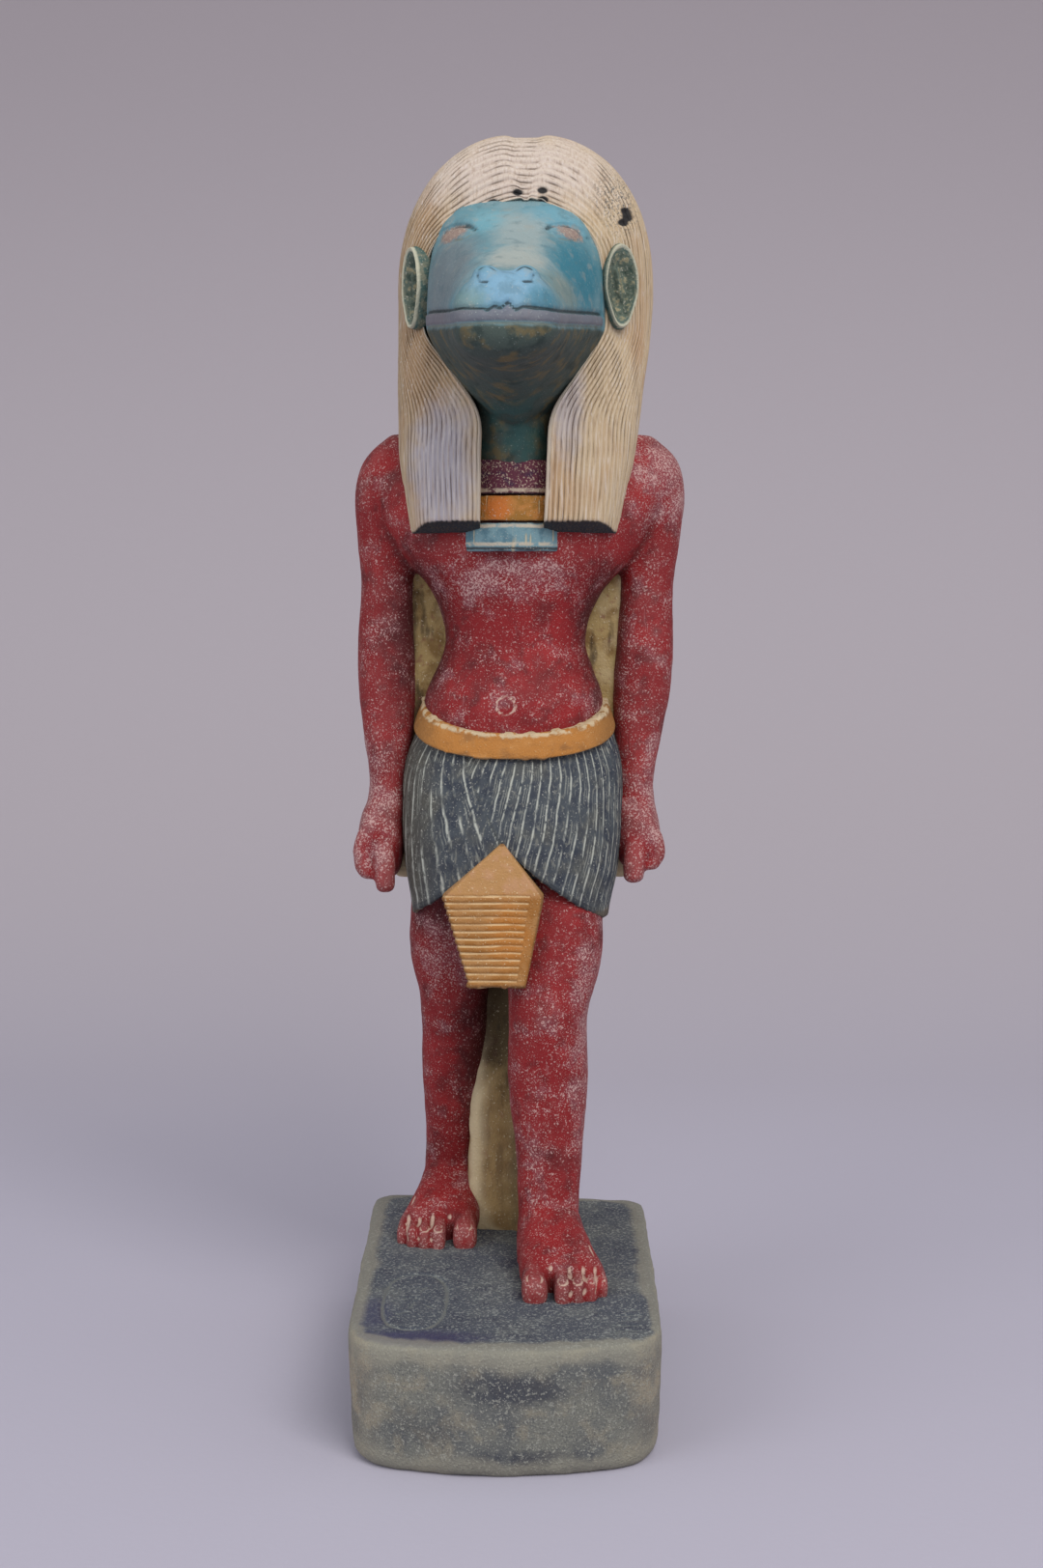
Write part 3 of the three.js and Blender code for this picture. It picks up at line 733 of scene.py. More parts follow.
# %% [markdown]
# The kilt is wrapped round the hips. Its hem rises in front to a point, and scored lines stand for
# its pleats. On the figure's own left they lean towards the middle, and on the other panel they
# fan out from the overlap. The number of the pleat at each place is kept as an attribute, so the
# paint can draw thin pale lines exactly on the scored ones.

# %% Kilt
HEM_SIDE, HEM_APEX, HEM_APEX_X, HEM_LEFT_X, HEM_RIGHT_X = 123, 144, -1.2, -27.5, 26
BELT_SIDE, BELT_FRONT, BELT_HEIGHT = 178.6, 169.8, 6.8
PLEAT_PITCH = 2.5
KILT = [
    (HEM_SIDE, 0.9, 27, 26.8, 24, 22, 2.5),
    (137, 1.2, 28, 29.2, 24.5, 21, 2.5),
    (150, 1.4, 29.5, 30.2, 23.5, 19.5, 2.5),
    (166, 1.8, 31, 29.4, 21.5, 17.5, 2.5),
    (181, 2.2, 32, 24.7, 19.4, 16.3, 2.4),
]


def hem_height(x):
    reach = np.where(x < HEM_APEX_X, HEM_LEFT_X - HEM_APEX_X, HEM_RIGHT_X - HEM_APEX_X)
    return lerp(HEM_APEX, HEM_SIDE, np.clip((x - HEM_APEX_X) / reach, 0, 1) ** 0.8)


def belt_line(angle):
    dip = np.sqrt(1 - np.abs(np.cos(angle)) ** 1.67)
    return lerp(BELT_SIDE, BELT_FRONT, np.where(np.sin(angle) > 0, 0, dip))


def kilt_mesh(sides, rings):
    def place(side, ring):
        angle = side / sides * 2 * math.pi
        t = np.clip((ring - 2) / (rings - 2), 0, 1)
        lip = np.array([3.2, 0.7, 0])[np.minimum(ring, 2)]
        _, x, y, half, front, back, squareness = along(KILT, t).T
        dx, dy = oval(angle, half - lip, back - lip, front - lip, squareness)
        foot = lerp(HEM_SIDE, hem_height(x + dx), smooth(-np.sin(angle) * 3))
        z = lerp(foot, belt_line(angle) + 1, t) + np.array([1.5, -0.1, 0.35])[np.minimum(ring, 2)]
        return x + dx, y + dy, z

    return loft(sides, rings, place)


def pleat_number(mesh, sides):
    angle = kept(mesh, "side") / sides * 2 * math.pi
    turns = np.linspace(-1.5 * math.pi, 0.5 * math.pi, 900)
    around = np.stack(oval(turns, 29.5, 20, 24, 2.5), -1)
    length = np.concatenate([[0], np.cumsum(np.linalg.norm(np.diff(around, axis=0), axis=1))])
    front = np.interp(-0.5 * math.pi, turns, length)
    u = np.interp(np.where(angle > 0.5 * math.pi, angle - 2 * math.pi, angle), turns, length) - front
    down = 172 - points(mesh)[:, 2]
    edge = lerp(-14.6, -2.8, (down - 4) / 24)
    lean = lerp(0.22, 0.04, np.clip((u + 14) / 38, 0, 1))
    right_panel = (u + lean * down) / PLEAT_PITCH
    left_panel = (u - 0.79 * down) / (1 + 0.0294 * down) / PLEAT_PITCH
    return np.where(u < edge, left_panel, right_panel), u - edge


kilt = kilt_mesh(440, 104)
pleat, past_edge = pleat_number(kilt, 440)
places = points(kilt)
waver = 0.16 * noise(places, (9, 9, 16), 51) + 0.06 * noise(places, 3, 52)
scored = np.exp(-(((pleat + waver) % 1 - 0.5) / 0.17) ** 2)
scored *= 0.7 + 0.3 * noise(places, (4, 4, 9), 53)
overlap = 0.35 * smooth(past_edge / 0.8 + 0.5) * smooth(-(past_edge - 7) / 6) * (places[:, 1] < 20)
wave = 0.2 * noise(places, 8, 54)
move_points(kilt, places + outward(kilt) * (overlap + wave - 0.32 * scored)[:, None])
keep(kilt, "pleat", pleat + waver)
finish_piece("kilt", kilt)

# %% [markdown]
# The belt is a smooth band that dips in front. A closed strip of its rounded section goes round
# the waist, and its top edge is chipped.

# %% Belt
BELT_SECTION = [(-0.5, -3), (-0.5, -1), (-0.5, 0.1), (-0.44, 0.8), (-0.2, 1.0), (0.2, 1.0), (0.44, 0.8), (0.5, 0.1), (0.5, -1), (0.5, -3)]


def belt_mesh(sides, rings):
    def place(side, ring):
        angle = side / sides * 2 * math.pi
        share, out = along(BELT_SECTION, ring / rings).T
        z = belt_line(angle) + share * BELT_HEIGHT
        _, x, y, half, front, back, squareness = row_at(KILT, np.minimum(180.5, z)).T
        dx, dy = oval(angle, half + out, back + out, front + out, squareness)
        return x + dx, y + dy, z

    return loft(sides, rings, place)


belt = belt_mesh(400, 40)
share = along(BELT_SECTION, kept(belt, "ring") / 40)[:, 0]
places = points(belt)
chips = smooth(noise(places, 3.2, 61) * 3 - 0.5) * smooth((share - 0.3) / 0.2)
nibbles = smooth(noise(places, 2.6, 62) * 3 - 1) * smooth((-share - 0.36) / 0.14)
wave = 0.14 * noise(places, 6, 63) + 0.05 * noise(places, 1.8, 64)
move_points(belt, places + outward(belt) * (wave - 0.5 * chips - 0.35 * nibbles)[:, None])
keep(belt, "across", share)
finish_piece("belt", belt)

# %% [markdown]
# The apron hangs in front as one tapering panel. Fine level ridges cross it up to the line of its
# two corners, and stop at a smooth border on one side. The triangle above them is only scratched.

# %% Apron
APRON_TOP, APRON_CORNER, APRON_BOTTOM, APRON_FRONT, APRON_THICKNESS = 144, 130.8, 106.6, -1.6, 10
APRON_PITCH = 1.88
APRON_SIDES = [(APRON_BOTTOM, -9.8, 5), (APRON_CORNER, -17, 9.8), (APRON_TOP + 0.6, -1.6, -0.8)]


def apron_mesh(columns, rings):
    sides = columns + 40

    def place(side, ring):
        z = lerp(APRON_BOTTOM, APRON_TOP + 0.6, ring / rings)
        heights, lefts, rights = np.transpose(APRON_SIDES)
        left, right = np.interp(z, heights, lefts), np.interp(z, heights, rights)
        across = np.where(side <= columns, side / columns, 1 - np.clip((side - columns - 8) / 24, 0, 1))
        back = np.clip(np.minimum(side - columns, sides - side) / 8, 0, 1)
        x = lerp(left, right, across)
        rim = np.clip(1 - np.minimum(x - left, right - x) / 1.1, 0, 1)
        low_rim = np.clip(1 - (z - APRON_BOTTOM) / 1.1, 0, 1)
        front = APRON_FRONT + 0.5 + np.clip((z - APRON_CORNER) / 13.2, 0, 1) * 2.6
        front = front + 0.9 * (1 - np.sqrt(1 - np.maximum(rim, low_rim) ** 2))
        return x, lerp(front, APRON_FRONT + APRON_THICKNESS, back), z

    return loft(sides, rings, place)


apron = apron_mesh(120, 150)
places = points(apron)
facing = smooth((APRON_FRONT + 4 - places[:, 1]) / 1.5)
level = (APRON_CORNER + 1.2 - places[:, 2]) / APRON_PITCH + 0.1 * noise(places, (7, 7, 7), 71)
border = smooth((lerp(2.7, 6.4, (places[:, 2] - APRON_BOTTOM) / 24.2) - places[:, 0]) / 0.5)
ridged = border * smooth((APRON_CORNER + 1.4 - places[:, 2]) / 0.8) * facing
ridge = np.exp(-(((level % 1) - 0.5) / 0.2) ** 2)
ridge *= 0.85 + 0.3 * noise(places, (3, 3, 1.5), 72)
wave = 0.14 * noise(places, 5, 73) + 0.07 * noise(places, 1.7, 74)
chip = smooth(noise(places, 2.4, 75) * 3 - 1.2) * smooth((APRON_BOTTOM + 2.4 - places[:, 2]) / 2)
push = facing * wave + ridged * (0.5 * ridge - 0.2) - 0.7 * chip * facing
move_points(apron, places + outward(apron) * push[:, None])
keep(apron, "ridge", ridge * ridged)
scratches = [
    [(2.4, 137.8), (0.4, 138.2), (-0.6, 137.4)],
    [(3.4, 136.6), (4.6, 134.6), (4.9, 132.8)],
    [(0.6, 136), (2.8, 136.2), (2.2, 134.8)],
    [(-4.6, 136.4), (-4.2, 134.4), (-6.2, 133.6), (-5.4, 132.6)],
    [(-9.4, 132.6), (-9, 130.6)],
    [(-1.2, 133.6), (1.4, 132.4), (3.6, 133)],
    [(1.2, 134.6), (1.8, 133.4), (2.8, 134.2)],
]
cut(apron, [on_front(apron, path) for path in scratches], 0.42, 0.34)
finish_piece("apron", apron)

# %% [markdown]
# Three bands of a collar show between the two falls of the wig. Each is a short drum that stands
# a little further out than the one above it, with a rounded edge and upright nicks.

# %% Collar
COLLAR = [(245.6, 236.6, 0), (236.2, 229.4, 1.2), (229, 221.6, 2.3)]


def collar_band(top, bottom, out):
    edge = 0.5
    rows = [
        (bottom, 1.6, 26, 15 + out - edge, 16.6 + out - edge, 6, 2.3),
        (bottom + edge, 1.6, 26, 15 + out, 16.6 + out, 6, 2.3),
        (lerp(bottom, top, 0.5), 1.6, 26, 15.2 + out, 16.4 + out, 6, 2.3),
        (top - edge, 1.6, 26, 15 + out, 15.8 + out, 6, 2.3),
        (top, 1.6, 26, 15 + out - edge, 15.8 + out - edge, 6, 2.3),
    ]
    band = upright(rows, 200, 36)
    places = points(band)
    nick = np.exp(-(((places[:, 0] / 1.15 + 0.3 * noise(places, 3, 81)) % 1 - 0.5) / 0.16) ** 2)
    nick *= smooth(noise(places, (1.6, 1.6, 6), 82) * 2)
    wave = 0.12 * noise(places, 4, 83)
    move_points(band, places + outward(band) * (wave - 0.2 * nick)[:, None])
    keep(band, "nick", nick)
    return band


collar = join([collar_band(*band) for band in COLLAR])
finish_piece("collar", collar)

# %% [markdown]
# The crocodile's head is a long lying loft. Its mouth line runs along the sides, so each section
# has one size above it and another below, and its own squareness for each. The snout points at
# the viewer. Nostrils and the neck are wrapped in with it as one skin.

# %% Head and neck
HEAD = [
    (37, 4.6, 284, 23.5, 34, 24, 3.6, 2),
    (16, 2.9, 279.8, 23.6, 35.2, 27, 3.4, 1.3),
    (7, 2.0, 279.2, 22.7, 30.8, 25, 2.7, 1.3),
    (-4, 1.5, 278, 20.4, 25.4, 19.5, 2.4, 1.4),
    (-16, 1.1, 276.4, 17.2, 20.2, 15.2, 2.3, 1.6),
    (-28, 0.7, 274.8, 14.9, 15.6, 12, 2.3, 1.8),
    (-38, 0.4, 273.4, 13.4, 13, 10, 2.4, 2),
    (-46, 0.1, 272.4, 12.2, 12.4, 8.4, 2.6, 2.2),
    (-51, 0, 272, 9.6, 10.4, 6.2, 2.4, 2.2),
    (-53, 0, 272, 5, 6, 3.4, 2.2, 2.2),
]
NECK = [
    (240, 1.6, 28, 12, 17, 4, 2.3),
    (250, 1.6, 28, 12, 19, 4, 2.2),
    (262, 1.6, 28, 12, 20.5, 4, 2),
]
SHARE_BELOW = 7


def skull(sides, rings):
    def place(side, ring):
        angle = side / sides * 2 * math.pi
        y, x, z, half, rise, fall, above, below = along(HEAD, ring / rings).T
        dx, dz = oval(angle, half, rise, fall, np.where(np.sin(angle) < 0, below, above))
        return x + dx, y, z + dz

    return loft(sides, rings, place)


def lump(centre, sizes, turn=0):
    bm = bmesh.new()
    bmesh.ops.create_uvsphere(bm, u_segments=32, v_segments=20, radius=1)
    bmesh.ops.scale(bm, vec=sizes, verts=bm.verts)
    bmesh.ops.rotate(bm, matrix=Matrix.Rotation(turn, 3, "Z"), verts=bm.verts)
    bmesh.ops.translate(bm, vec=centre, verts=bm.verts)
    mesh = bpy.data.meshes.new("lump")
    bm.to_mesh(mesh)
    bm.free()
    return mesh


nostril_lumps = [lump((0.2 + side * 4.6, -44.6, 283.4), (3.6, 4.4, 3.1)) for side in (-1, 1)]
head = one_skin([skull(200, 150), upright(NECK, 64, 30), *nostril_lumps], 0.56, 4)

# %% [markdown]
# The eye is cut like an almond: the skin sinks round it, the ball stands out of the hollow, and
# the lids are two lines that meet at its corners. The upper lid's line and the folds beside it are
# painted dark, partly as a lid line and partly as painted shade under the brow. The lips are two
# wandering lines with lumpy teeth between them. A groove sets off the nose from the snout, and
# the grooves over and under each nostril are painted dark as painted shade.

# %% Eyes, nostrils and mouth


EYES = {-1: -13.0, 1: 15.2}
EYE_Z = 302.6
for side, eye_x in EYES.items():
    places = points(head)
    dx, dz = (places[:, 0] - eye_x) * side, places[:, 2] - EYE_Z
    ahead = (places[:, 1] < 16) * (outward(head)[:, 1] < 0.3)
    radius = np.hypot(dx / 4.6, (dz - 0.06 * dx) / 2.7)
    socket = np.exp(-((radius / 1.5) ** 4))
    ball = np.sqrt(np.clip(1 - radius**2, 0, 1))
    lid = np.exp(-(((radius - 1.2) / 0.22) ** 2)) * (0.55 + 0.45 * np.sign(dz))
    brow = np.exp(-(((dz - 4.2 + 0.05 * dx * dx) / 1.4) ** 2)) * np.exp(-((dx / 6.5) ** 4))
    push = ahead * (1.25 * ball - 1.0 * socket + 0.75 * lid + 0.7 * brow)
    move_points(head, places + np.stack([0 * push, -push, 0 * push], -1))
    turn = np.radians(np.linspace(168, 20, 16))
    upper = np.stack([eye_x + side * (-4.9 * np.cos(turn)), EYE_Z + 2.9 * np.sin(turn) - 0.3], -1)
    lower = [(eye_x - side * 4.9, EYE_Z - 0.2), (eye_x - side * 2, EYE_Z - 2.3), (eye_x + side * 2, EYE_Z - 2.2)]
    lower.append((eye_x + side * 4.6, EYE_Z - 0.4))
    # The upper lid line and the folds are painted dark: partly a lid line, partly painted shade under the brow.
    cut(head, [on_front(head, upper)], 0.75, 0.9, "dark_line_and_shade")
    cut(head, [on_front(head, lower)], 0.5, 0.4)
    folds = [[(eye_x + side * 1.0, EYE_Z + 1.4), (eye_x + side * 3.2, EYE_Z + 0.2), (eye_x + side * 5.4, EYE_Z + 0.4)]]
    cut(head, [on_front(head, fold) for fold in folds], 0.45, 0.5, "dark_line_and_shade")

def mouth_height(places):
    return places[:, 2] - row_at(HEAD, places[:, 1])[:, 2]


def upper_lip(across):
    return 3.6 + 0.45 * np.sin(across * 9.5) + 0.45 * np.sin(across * 4.6 + 1.2)


places = points(head)
above = mouth_height(places)
snout = smooth((12 - places[:, 1]) / 8)
lower_line = np.exp(-((above / 0.4) ** 2)) * snout
middles = row_at(HEAD, places[:, 1])
lip_x = (places[:, 0] - middles[:, 1]) / middles[:, 3]
upper_line = np.exp(-(((above - upper_lip(lip_x)) / 0.55) ** 2)) * snout
between = smooth(above / 0.8) * smooth((upper_lip(lip_x) - above) / 0.8) * snout
teeth = between * (0.35 + 0.65 * np.abs(np.sin(lip_x * 8 + 0.4)))
push = 0.45 * teeth - 0.5 * lower_line - 0.75 * upper_line
move_points(head, places + outward(head) * push[:, None])
keep(head, "above_mouth", above)
keep(head, "dark_line_and_shade", np.maximum(kept(head, "dark_line_and_shade"), upper_line))
keep(head, "cut", np.maximum(kept(head, "cut"), lower_line))
keep(head, "teeth", between)
# Dark grooves over and under each nostril bump are painted shade.
for side in (-1, 1):
    crescent = [(0.2 + side * 7.0, 283.8), (0.2 + side * 6.3, 282.2), (0.2 + side * 4.4, 281.9)]
    arch = [(0.2 + side * 2.2, 285.2), (0.2 + side * 4.2, 286.4), (0.2 + side * 6.6, 285.4)]
    cut(head, [on_front(head, crescent), on_front(head, arch)], 0.6, 0.55, "dark_line_and_shade")
roughen(head, 0.14, 6, 91)
roughen(head, 0.05, 2.2, 93)
finish_piece("crocodile_head", head)

# %% [markdown]
# The ears are a person's ears, cupped like a small dish. A squashed ball gives each its closed
# form: the front half is pushed in behind a raised rim, and one upright fold stands in the hollow.

# %% Ears
EAR_Z = 290.6


def ear_mesh(width, height):
    sides, rings = 72, 60

    def place(side, ring):
        angle = side / sides * 2 * math.pi
        t = ring / rings
        out = np.interp(t, [0, 0.3, 0.42, 0.5, 0.58, 0.68, 1], [0, 0.82, 0.96, 1, 0.95, 0.76, 0])
        depth = np.interp(t, [0, 0.3, 0.42, 0.5, 0.58, 0.68, 0.8, 1], [2.4, 2, 0.4, -1.6, -3.6, -2.6, -0.9, -0.7])
        lobe = 1 - 0.3 * smooth(-np.sin(angle)) * np.abs(np.cos(angle))
        x = width * out * np.cos(angle) * lobe
        z = height * out * np.sin(angle)
        fold = np.exp(-(((x + 0.16 * z + 0.3) / 0.8) ** 2)) * smooth((5.6 - np.abs(z - 0.5)) / 3)
        y = depth - 1.7 * fold * smooth((t - 0.7) / 0.1)
        return x, y, z

    return loft(sides, rings, place)


def ear(name, x, y, turn, width, height):
    mesh = ear_mesh(width, height)
    places = points(mesh)
    keep(mesh, "rim", np.exp(-(((kept(mesh, "ring") / 60 - 0.58) / 0.05) ** 2)))
    keep(mesh, "dip", smooth((kept(mesh, "ring") / 60 - 0.63) / 0.06))
    c, s = math.cos(turn), math.sin(turn)
    turned = places @ np.array([[c, s, 0], [-s, c, 0], [0, 0, 1]])
    move_points(mesh, turned + (x, y, EAR_Z))
    roughen(mesh, 0.1, 4, 95)
    roughen(mesh, 0.05, 1.6, 96)
    finish_piece(name, mesh)


ear("ear_on_its_right", -22.6, 15.5, -1.05, 4.8, 10.9)
ear("ear_on_its_left", 29, 13.5, 0.4, 4.9, 11.2)

# %% [markdown]
# The wig is one thick cap of hair with a parting over the crown. Its outer face is a grid: one
# way down from the parting, the other way round from the face to the back and on to the face
# again. The seam along the parting is welded. Walls run back from the face opening to a flat wall
# behind the head. A plain grid is reshaped here because a loft's caps could not close this shape.

# %% Wig's form
WIG_X, WIG_Y, WIG_EQUATOR, WIG_BOTTOM, WIG_PARTING = 5.1, 32, 289, 226.4, 22.5
WIG_TOP = 333.6
WIG_CROWN = 0.5
WIG_WALL_Y = 28
STRAND_PITCH = 1.4
WIG_FALL = [
    (WIG_EQUATOR, WIG_X, 34.6, 23.6, 27, 2.4, 26.4, 19.6),
    (279, 4.6, 34.2, 24.4, 27.4, 2.5, 26, 20.2),
    (268, 3.8, 33.5, 25.4, 28, 2.9, 17.6, 14.6),
    (257, 3.2, 32.8, 26.4, 28.4, 3.4, 10.4, 8.6),
    (245, 2.6, 31.6, 27.2, 28.5, 4, 9.4, 8),
    (WIG_BOTTOM, 2.0, 27.8, 27.6, 28.5, 5, 9, 7.8),
]


def fall_point(z, share, side):
    _, x, half, front, back, squareness, open_left, open_right = row_at(WIG_FALL, z).T
    opening = np.where(side < 0, open_left, open_right)
    start = -np.arccos((opening / half) ** (squareness / 2))
    steps = np.linspace(0, 1, 61)
    angle = start[:, None] + (math.pi / 2 - start[:, None]) * steps
    columns = [v[:, None] for v in (half, back, front, squareness)]
    dx, dy = oval(angle, *columns)
    length = np.cumsum(np.hypot(np.diff(dx, prepend=dx[:, :1]), np.diff(dy, prepend=dy[:, :1])), axis=1)
    wanted = share * length[:, -1]
    i = np.clip((length < wanted[:, None]).sum(1), 1, 60)
    row = np.arange(len(z))
    low, high = length[row, i - 1], length[row, i]
    mix = (wanted - low) / np.maximum(high - low, 1e-9)
    return x + side * lerp(dx[row, i - 1], dx[row, i], mix), WIG_Y + lerp(dy[row, i - 1], dy[row, i], mix)


def wig_point(s, t, side):
    down = np.clip((t - WIG_CROWN) / (1 - WIG_CROWN), 0, 1)
    z = lerp(WIG_EQUATOR, WIG_BOTTOM, down)
    rim_x, rim_y = fall_point(z, s, side)
    over = np.clip(t / WIG_CROWN, 0, 1)
    turn = lerp(0.04 * (over > 0), math.pi / 2, over)
    roundness = lerp(lerp(1.4, 2.8, over), 2.4, smooth(s * 4))
    out = np.sin(turn) ** (2 / roundness)
    up = np.maximum(np.cos(turn), 0) ** (2 / roundness)
    start_y = WIG_Y - WIG_PARTING * np.cos(math.pi * s)
    rise = (1 - (np.abs(start_y - WIG_Y) / (WIG_PARTING + 2.6)) ** 2.4) ** (1 / 2.4)
    start_z = lerp(WIG_EQUATOR, WIG_TOP, rise)
    groove = 0.9 * np.exp(-((over / 0.035) ** 2))
    return (
        lerp(WIG_X, rim_x, out),
        lerp(start_y, rim_y, 1 - up),
        lerp(z, start_z, up) - groove * (t < WIG_CROWN),
    )


# %% [markdown]
# Columns stand closer in front, where the strands are seen, and further apart behind. The flat
# wall behind the head and the cut ends are filled, and the ends are sliced so that they can slope
# up towards the front.

# %% Wig's grid
DOWN_STEPS, FRONT_COLUMNS, SIDE_COLUMNS, BACK_COLUMNS, WALL_COLUMNS = 204, 86, 62, 46, 7


def wig_mesh():
    columns = FRONT_COLUMNS + SIDE_COLUMNS + BACK_COLUMNS
    wide = 2 * (columns + WALL_COLUMNS)
    bm = bmesh.new()
    bmesh.ops.create_grid(bm, x_segments=wide, y_segments=DOWN_STEPS, size=1)
    mesh = bpy.data.meshes.new("wig")
    bm.to_mesh(mesh)
    bm.free()
    at = points(mesh)
    i = np.rint((at[:, 0] + 1) / 2 * wide)
    t = np.rint((at[:, 1] + 1) / 2 * DOWN_STEPS) / DOWN_STEPS
    side = np.where(i <= wide / 2, -1, 1)
    from_front = np.minimum(i, wide - i) - WALL_COLUMNS
    wall = np.clip(-from_front / WALL_COLUMNS, 0, 1)
    turns = [0, FRONT_COLUMNS, FRONT_COLUMNS + SIDE_COLUMNS, columns]
    s = np.interp(from_front, turns, [0, 0.28, 0.6, 1])
    x, y, z = wig_point(s, t, side)
    move_points(mesh, np.stack([x, lerp(y, WIG_WALL_Y, wall), z], -1))
    for name, values in (("s", s), ("t", t), ("side", side), ("hair", wall == 0)):
        keep(mesh, name, values)
    return mesh


def close_wig(mesh):
    bm = bmesh.new()
    bm.from_mesh(mesh)
    bmesh.ops.remove_doubles(bm, verts=bm.verts, dist=0.004)
    rim = [edge for edge in bm.edges if edge.is_boundary]
    wall = [edge for edge in rim if all(abs(v.co.y - WIG_WALL_Y) < 0.01 for v in edge.verts)]
    lowest = sorted({v for edge in wall for v in edge.verts}, key=lambda v: v.co.z)[:2]
    sill = bm.edges.new(lowest)
    bmesh.ops.triangle_fill(bm, use_beauty=True, edges=wall + [sill])
    ends = bmesh.ops.triangle_fill(bm, use_beauty=True, edges=[e for e in rim if e not in wall] + [sill])
    bottom = [part for part in ends["geom"] if isinstance(part, bmesh.types.BMFace)]
    for y in np.arange(5, 16, 1.0):
        geometry = list({*bottom, *(e for f in bottom for e in f.edges), *(v for f in bottom for v in f.verts)})
        sliced = bmesh.ops.bisect_plane(bm, geom=geometry, plane_co=(0, y, 0), plane_no=(0, 1, 0))
        bottom = [part for part in sliced["geom"] if isinstance(part, bmesh.types.BMFace)]
    left_open = sum(1 for edge in bm.edges if len(edge.link_faces) != 2)
    bm.to_mesh(mesh)
    bm.free()
    places = points(mesh)
    keep(mesh, "under", places[:, 2] < WIG_BOTTOM + 0.02)
    down = np.clip((WIG_EQUATOR - places[:, 2]) / (WIG_EQUATOR - WIG_BOTTOM), 0, 1)
    places[:, 2] += 2.5 * smooth((12.5 - places[:, 1]) / 7) * down**3
    move_points(mesh, places)
    return left_open


wig = wig_mesh()
print("wig's edges that do not join two faces:", close_wig(wig))
s, t, side, hair = (kept(wig, name) for name in ("s", "t", "side", "hair"))
places = points(wig)
front_edge = np.clip(1 - s * 95 / 1.2, 0, 1) * hair
round_off = 1.1 * (1 - np.sqrt(1 - front_edge**2))
low_edge = np.clip(1 - (1 - t) / 0.012, 0, 1) * hair
inwards = np.stack([0.3 * (places[:, 0] - WIG_X) / 30, (places[:, 1] - WIG_Y) / 30, 0 * s], -1)
places = places + np.stack([0 * s, round_off, 0 * s], -1) - inwards * (0.8 * (1 - np.sqrt(1 - low_edge**2)))[:, None]
sweep = s * lerp(0.52, 1, smooth(t / WIG_CROWN))
strand = np.interp(sweep, [0, 0.3, 1], [0, 0.3 * 95 / STRAND_PITCH, 0.3 * 95 / STRAND_PITCH + 0.7 * 95 / 2.3])
strand = strand + 0.22 * noise(places, (8, 8, 14), 101) + 0.1 * noise(places, (3, 3, 7), 102)
lock = np.exp(-(((strand % 1) - 0.5) / 0.2) ** 2) * (0.75 + 0.4 * noise(places, (3, 3, 10), 103))
thick = 0.5 * np.exp(-(((strand / 3.1 + 0.3 * noise(places, 20, 104)) % 1 - 0.5) / 0.16) ** 2)
move_points(wig, places)
depth = hair * (0.34 * lock + 0.4 * thick + 0.16 * noise(places, 9, 105))
moved = places - outward(wig) * depth[:, None]
pits = [(2.9, 314.6), (9.4, 315.2), (9.6, 312.6), (-3.6, 312), (31.6, 311), (32.2, 309.4), (30.8, 307.6)]
for x, z in pits:
    gap = np.hypot((moved[:, 0] - x) / 1.3, (moved[:, 2] - z) / 0.8)
    moved = moved - outward(wig) * (0.9 * np.exp(-(gap**2)) * (moved[:, 1] < 24))[:, None]
move_points(wig, moved)
keep(wig, "strand", strand)
keep(wig, "pit", sum(np.exp(-(((places[:, 0] - x) / 1.5) ** 2 + ((places[:, 2] - z) / 1.0) ** 2)) for x, z in pits) * (places[:, 1] < 24))
keep(wig, "edge", np.exp(-((s * 95 / 1.0) ** 2)) * hair)
finish_piece("wig", wig)

# %% [markdown]
# Paint is written as sums. A small class wraps a socket, so that `1 - mask` or `a * b` makes the
# Math nodes. Every other node comes from one method, which takes its kind, its settings, and what
# its sockets get. Places are read in millimetres from the object's own coordinates, so a speck
# half a millimetre wide is written as 0.5.

# %% Shader sums
class Wire:
    def __init__(self, paint, socket):
        self.paint = paint
        self.socket = socket

    def sum(self, operation, *others):
        return self.paint.node("ShaderNodeMath", {"operation": operation}, dict(enumerate((self, *others))))

    def __add__(self, other):
        return self.sum("ADD", other)

    def __sub__(self, other):
        return self.sum("SUBTRACT", other)

    def __rsub__(self, other):
        return self.paint.node("ShaderNodeMath", {"operation": "SUBTRACT"}, {0: other, 1: self})

    def __mul__(self, other):
        return self.sum("MULTIPLY", other)

    def __truediv__(self, other):
        return self.sum("DIVIDE", other)

    __radd__ = __add__
    __rmul__ = __mul__

    def fades(self, low, high):
        return self.paint.node(
            "ShaderNodeMapRange", {"interpolation_type": "SMOOTHSTEP"}, {0: self, 1: low, 2: high, 3: 0, 4: 1}
        )


def tint(red, green, blue):
    return tuple(((c / 255 + 0.055) / 1.055) ** 2.4 if c > 10 else c / 255 / 12.92 for c in (red, green, blue)) + (1,)


